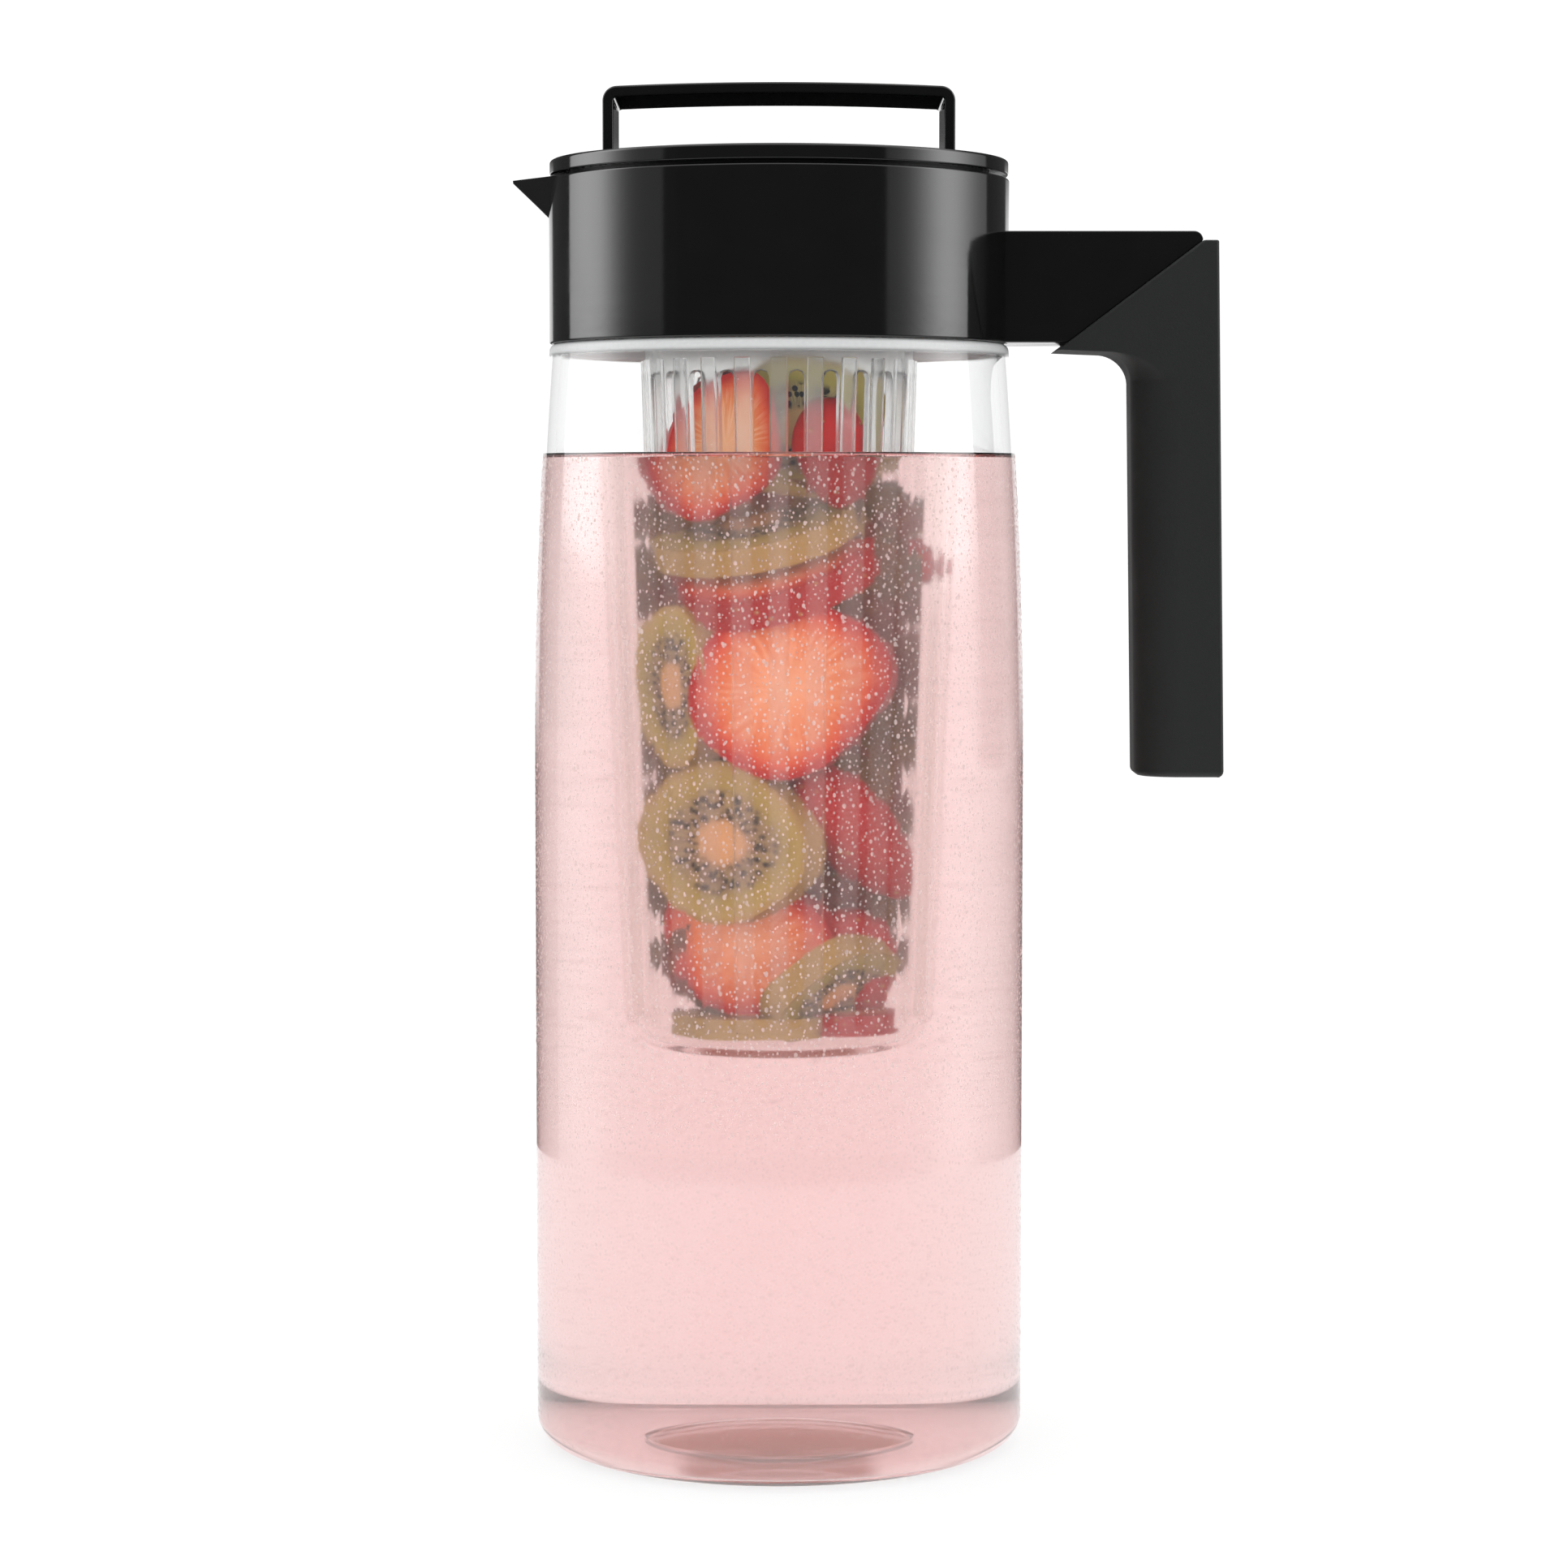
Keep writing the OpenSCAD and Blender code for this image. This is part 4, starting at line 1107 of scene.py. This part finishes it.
def condensation():
    """Water beads over the cold wall: one small dome, set down thousands of times."""
    bm = bmesh.new()
    bmesh.ops.create_uvsphere(bm, u_segments=6, v_segments=4, radius=1)
    low = [v for v in bm.verts if v.co.z < -0.01]
    bmesh.ops.delete(bm, geom=low, context="VERTS")
    bmesh.ops.holes_fill(bm, edges=[e for e in bm.edges if e.is_boundary])
    bmesh.ops.recalc_face_normals(bm, faces=bm.faces)
    bmesh.ops.triangulate(bm, faces=bm.faces)
    bm.verts.index_update()
    dome = np.array([v.co for v in bm.verts])
    faces = np.array([[v.index for v in f.verts] for f in bm.faces])
    domed = np.repeat([max(v.co.z for v in f.verts) > 0.01 for f in bm.faces], 3)
    bm.free()
    draw = np.random.default_rng(7)
    round_n = int(2 * math.pi * JAR_R / DROP_CELL)
    up_n = int((DROPS_Z1 - DROPS_Z0) / DROP_CELL)
    ring, level = (g.ravel() for g in np.meshgrid(np.arange(round_n), np.arange(up_n)))
    kept = draw.random(ring.size) < DROP_CHANCE
    ring, level = ring[kept], level[kept]
    a = (ring + draw.random(ring.size)) / round_n * 2 * math.pi
    z = DROPS_Z0 + (level + draw.random(ring.size)) * DROP_CELL
    r = draw.lognormal(math.log(DROP_R), DROP_SPREAD, a.size)
    r = np.clip(r, DROP_R_LEAST, DROP_R_MOST)
    tall = draw.uniform(1.0, DROP_STRETCH, a.size)
    wall = np.array([jar_r(h) for h in z])
    foot = z < FOOT_ROUND
    wall[foot] -= FOOT_ROUND - np.sqrt(FOOT_ROUND**2 - (FOOT_ROUND - z[foot]) ** 2)
    out = np.stack([np.cos(a), np.sin(a), np.zeros_like(a)], 1)
    side = np.stack([-np.sin(a), np.cos(a), np.zeros_like(a)], 1)
    up = np.array([0, 0, 1.0])
    seat = out * (wall + DROP_LIFT)[:, None] + up * z[:, None]
    for i, start in enumerate(range(0, a.size, DROPS_PER_PIECE)):
        part = slice(start, start + DROPS_PER_PIECE)
        x, y, h = (dome[None, :, k, None] for k in range(3))
        size = r[part, None, None]
        beads = (
            seat[part, None]
            + side[part, None] * x * size
            + up * y * size * tall[part, None, None]
            + out[part, None] * (h * size * DROP_DOME)
        )
        count = beads.shape[0]
        index = faces[None] + (np.arange(count) * len(dome))[:, None, None]
        mesh = bpy.data.meshes.new(f"condensation_{i}")
        mesh.from_pydata(beads.reshape(-1, 3), [], index.reshape(-1, 3).tolist())
        chart = np.zeros((count * domed.size, 2))
        chart[:, 0] = np.tile(domed, count)
        mesh.uv_layers.new(name="dome").data.foreach_set("uv", chart.ravel())
        bm = bmesh.new()
        bm.from_mesh(mesh)
        bpy.data.meshes.remove(mesh)
        piece(f"condensation_{i}", bm, BEAD, "pitcher", sharp=0)


def studio():
    """Pale floor, white surround, and a softbox on each side between dark flags. Angles are in
    degrees: turn goes round from the camera's side, lift goes up from level."""
    bm = bmesh.new()
    bmesh.ops.create_circle(bm, cap_ends=True, segments=64, radius=FLOOR_R)
    bmesh.ops.translate(bm, verts=bm.verts, vec=(0, 0, -FLOOR_DROP))
    floor = loose_object("floor", bm)
    floor.data.materials.append(pale_floor())
    world = bpy.data.worlds.new("studio")
    bpy.context.scene.world = world
    s = Shader(world)
    x, y, z = s.parts(s.place("Generated"))
    turn = x.angle_from(-y) * (180 / math.pi)
    lift = z.math("ARCSINE", z) * (180 / math.pi)

    def softbox(turn, peak, front, back, near, far, strength):
        """Bright at peak degrees from the front, falling off to its near and far edges."""
        ahead, behind = (turn - peak) / front, (turn - peak) / back
        past = turn.math("GREATER_THAN", turn, peak)
        slope = ahead + (behind - ahead) * past
        glow = (-(slope * slope)).exp() * strength + 0.42
        return glow * turn.smooth(near - 1.5, near + 1.5) * (1 - turn.smooth(far - 1, far + 1))

    left = softbox(-turn, peak=102, front=15, back=26, near=59, far=128, strength=4.0)
    right = softbox(turn, peak=90, front=17, back=19, near=54.5, far=126, strength=4.5)
    away = turn.math("ABSOLUTE", turn)
    low_behind = away.smooth(155, 158) * (1 - lift.smooth(3.5, 5.0)) * lift.smooth(-4, -2)
    front = 1 - away.smooth(50, 53)
    high = lift.smooth(34, 46)
    reach = lift.smooth(1.2, 2.1) * 0.78 + 0.22
    band = (left + right) * reach + low_behind + (1 - front) * 0.02 + 0.07
    boxes = band * (1 - high) + high * 1.5
    rays = s.node("ShaderNodeLightPath").outputs()
    lit = rays["Diffuse Depth"].smooth(0.4, 0.6)
    # Light on matte things: an even surround, stronger from the front
    fill = (1 - away.smooth(60, 100)) * 3.0 + high * 1.2
    light = 1.0 + fill * rays["Is Transmission Ray"]
    # Seen through the clear things: a white sweep that turns pink, with a dim warm room behind it
    blush = lift.smooth(4, 12) * away.smooth(90, 120) * 0.8
    dome = lift.smooth(17.5, 22) * away.smooth(170, 174)
    near_floor = lift.smooth(3, 6) * (1 - lift.smooth(12.3, 13.1)) * away.smooth(167, 171)
    room = (dome + near_floor) * (1 - lit)
    sweep = away.smooth(70, 100) * 0.31 + 0.8
    surround = light * lit + sweep * (1 - lit)
    mirrored = rays["Is Reflection Ray"] * (1 - rays["Is Diffuse Ray"])
    seen = rays["Is Camera Ray"]
    strength = (boxes * mirrored + surround * (1 - mirrored)) * (1 - seen) + seen * 1.1
    unlit = (1 - mirrored) * (1 - seen)
    sky = s.blend(blush * (1 - lit) * unlit, (1, 1, 1), (0.89, 0.69, 0.69))
    colour = s.blend(room * unlit, sky, (0.33, 0.055, 0.012))
    glow = s.node("ShaderNodeBackground", {}, {"Color": colour, "Strength": strength})
    s.node_end("ShaderNodeOutputWorld", {"Surface": glow})
    world.cycles.sampling_method = "NONE"


def camera():
    """Above the middle, looking a little down, as the photograph does."""
    eye = bpy.data.cameras.new("camera")
    eye.sensor_width = 36.0
    eye.lens = CAMERA_LENS
    eye.clip_start, eye.clip_end = 0.05, 80
    made = bpy.data.objects.new("camera", eye)
    made.location = CAMERA_AT
    made.rotation_euler = (math.radians(90 - CAMERA_TILT), 0, 0)
    bpy.context.scene.collection.objects.link(made)
    bpy.context.scene.camera = made


CLEAR, DRINK, BEAD, FROSTED = clear_plastic(), drink_liquid(), bead_painted_glint(), frosted_plastic()
GLOSS, SATIN, MATTE, GRIP = gloss_black(), satin_black(), matte_black(), soft_touch()
SILICONE, STEEL = silicone(), screw_steel()
STRAWBERRY, KIWI, SHADE_PAINTED_FRUIT = strawberry(), kiwi(), shade_painted_fruit()

camera()
studio()
jar()
drink()
collar()
lid_cap()
lid_loop()
arm()
grip()
basket()
fruit()
condensation()
for node, finish, body, slot in (
    ("lid_plug", SATIN, "lid", "inner_black"),
    ("basket_socket", SATIN, "lid", "inner_black"),
    ("lid_screws", STEEL, "lid", "steel"),
    ("pour_seal", SILICONE, "lid", "silicone"),
    ("plug_ring", SILICONE, "seal_ring", "silicone"),
    ("basket_washer", SILICONE, "washer", "silicone"),
    ("neck_gasket", SILICONE, "pitcher", "silicone"),
):
    smooth_copy(node, finish, body)

scene = bpy.context.scene
scene.view_settings.view_transform = "Standard"
scene.cycles.max_bounces = 32
scene.cycles.transmission_bounces = 32
scene.cycles.transparent_max_bounces = 32
scene.cycles.glossy_bounces = 8
scene.cycles.diffuse_bounces = 4
scene.cycles.caustics_reflective = False
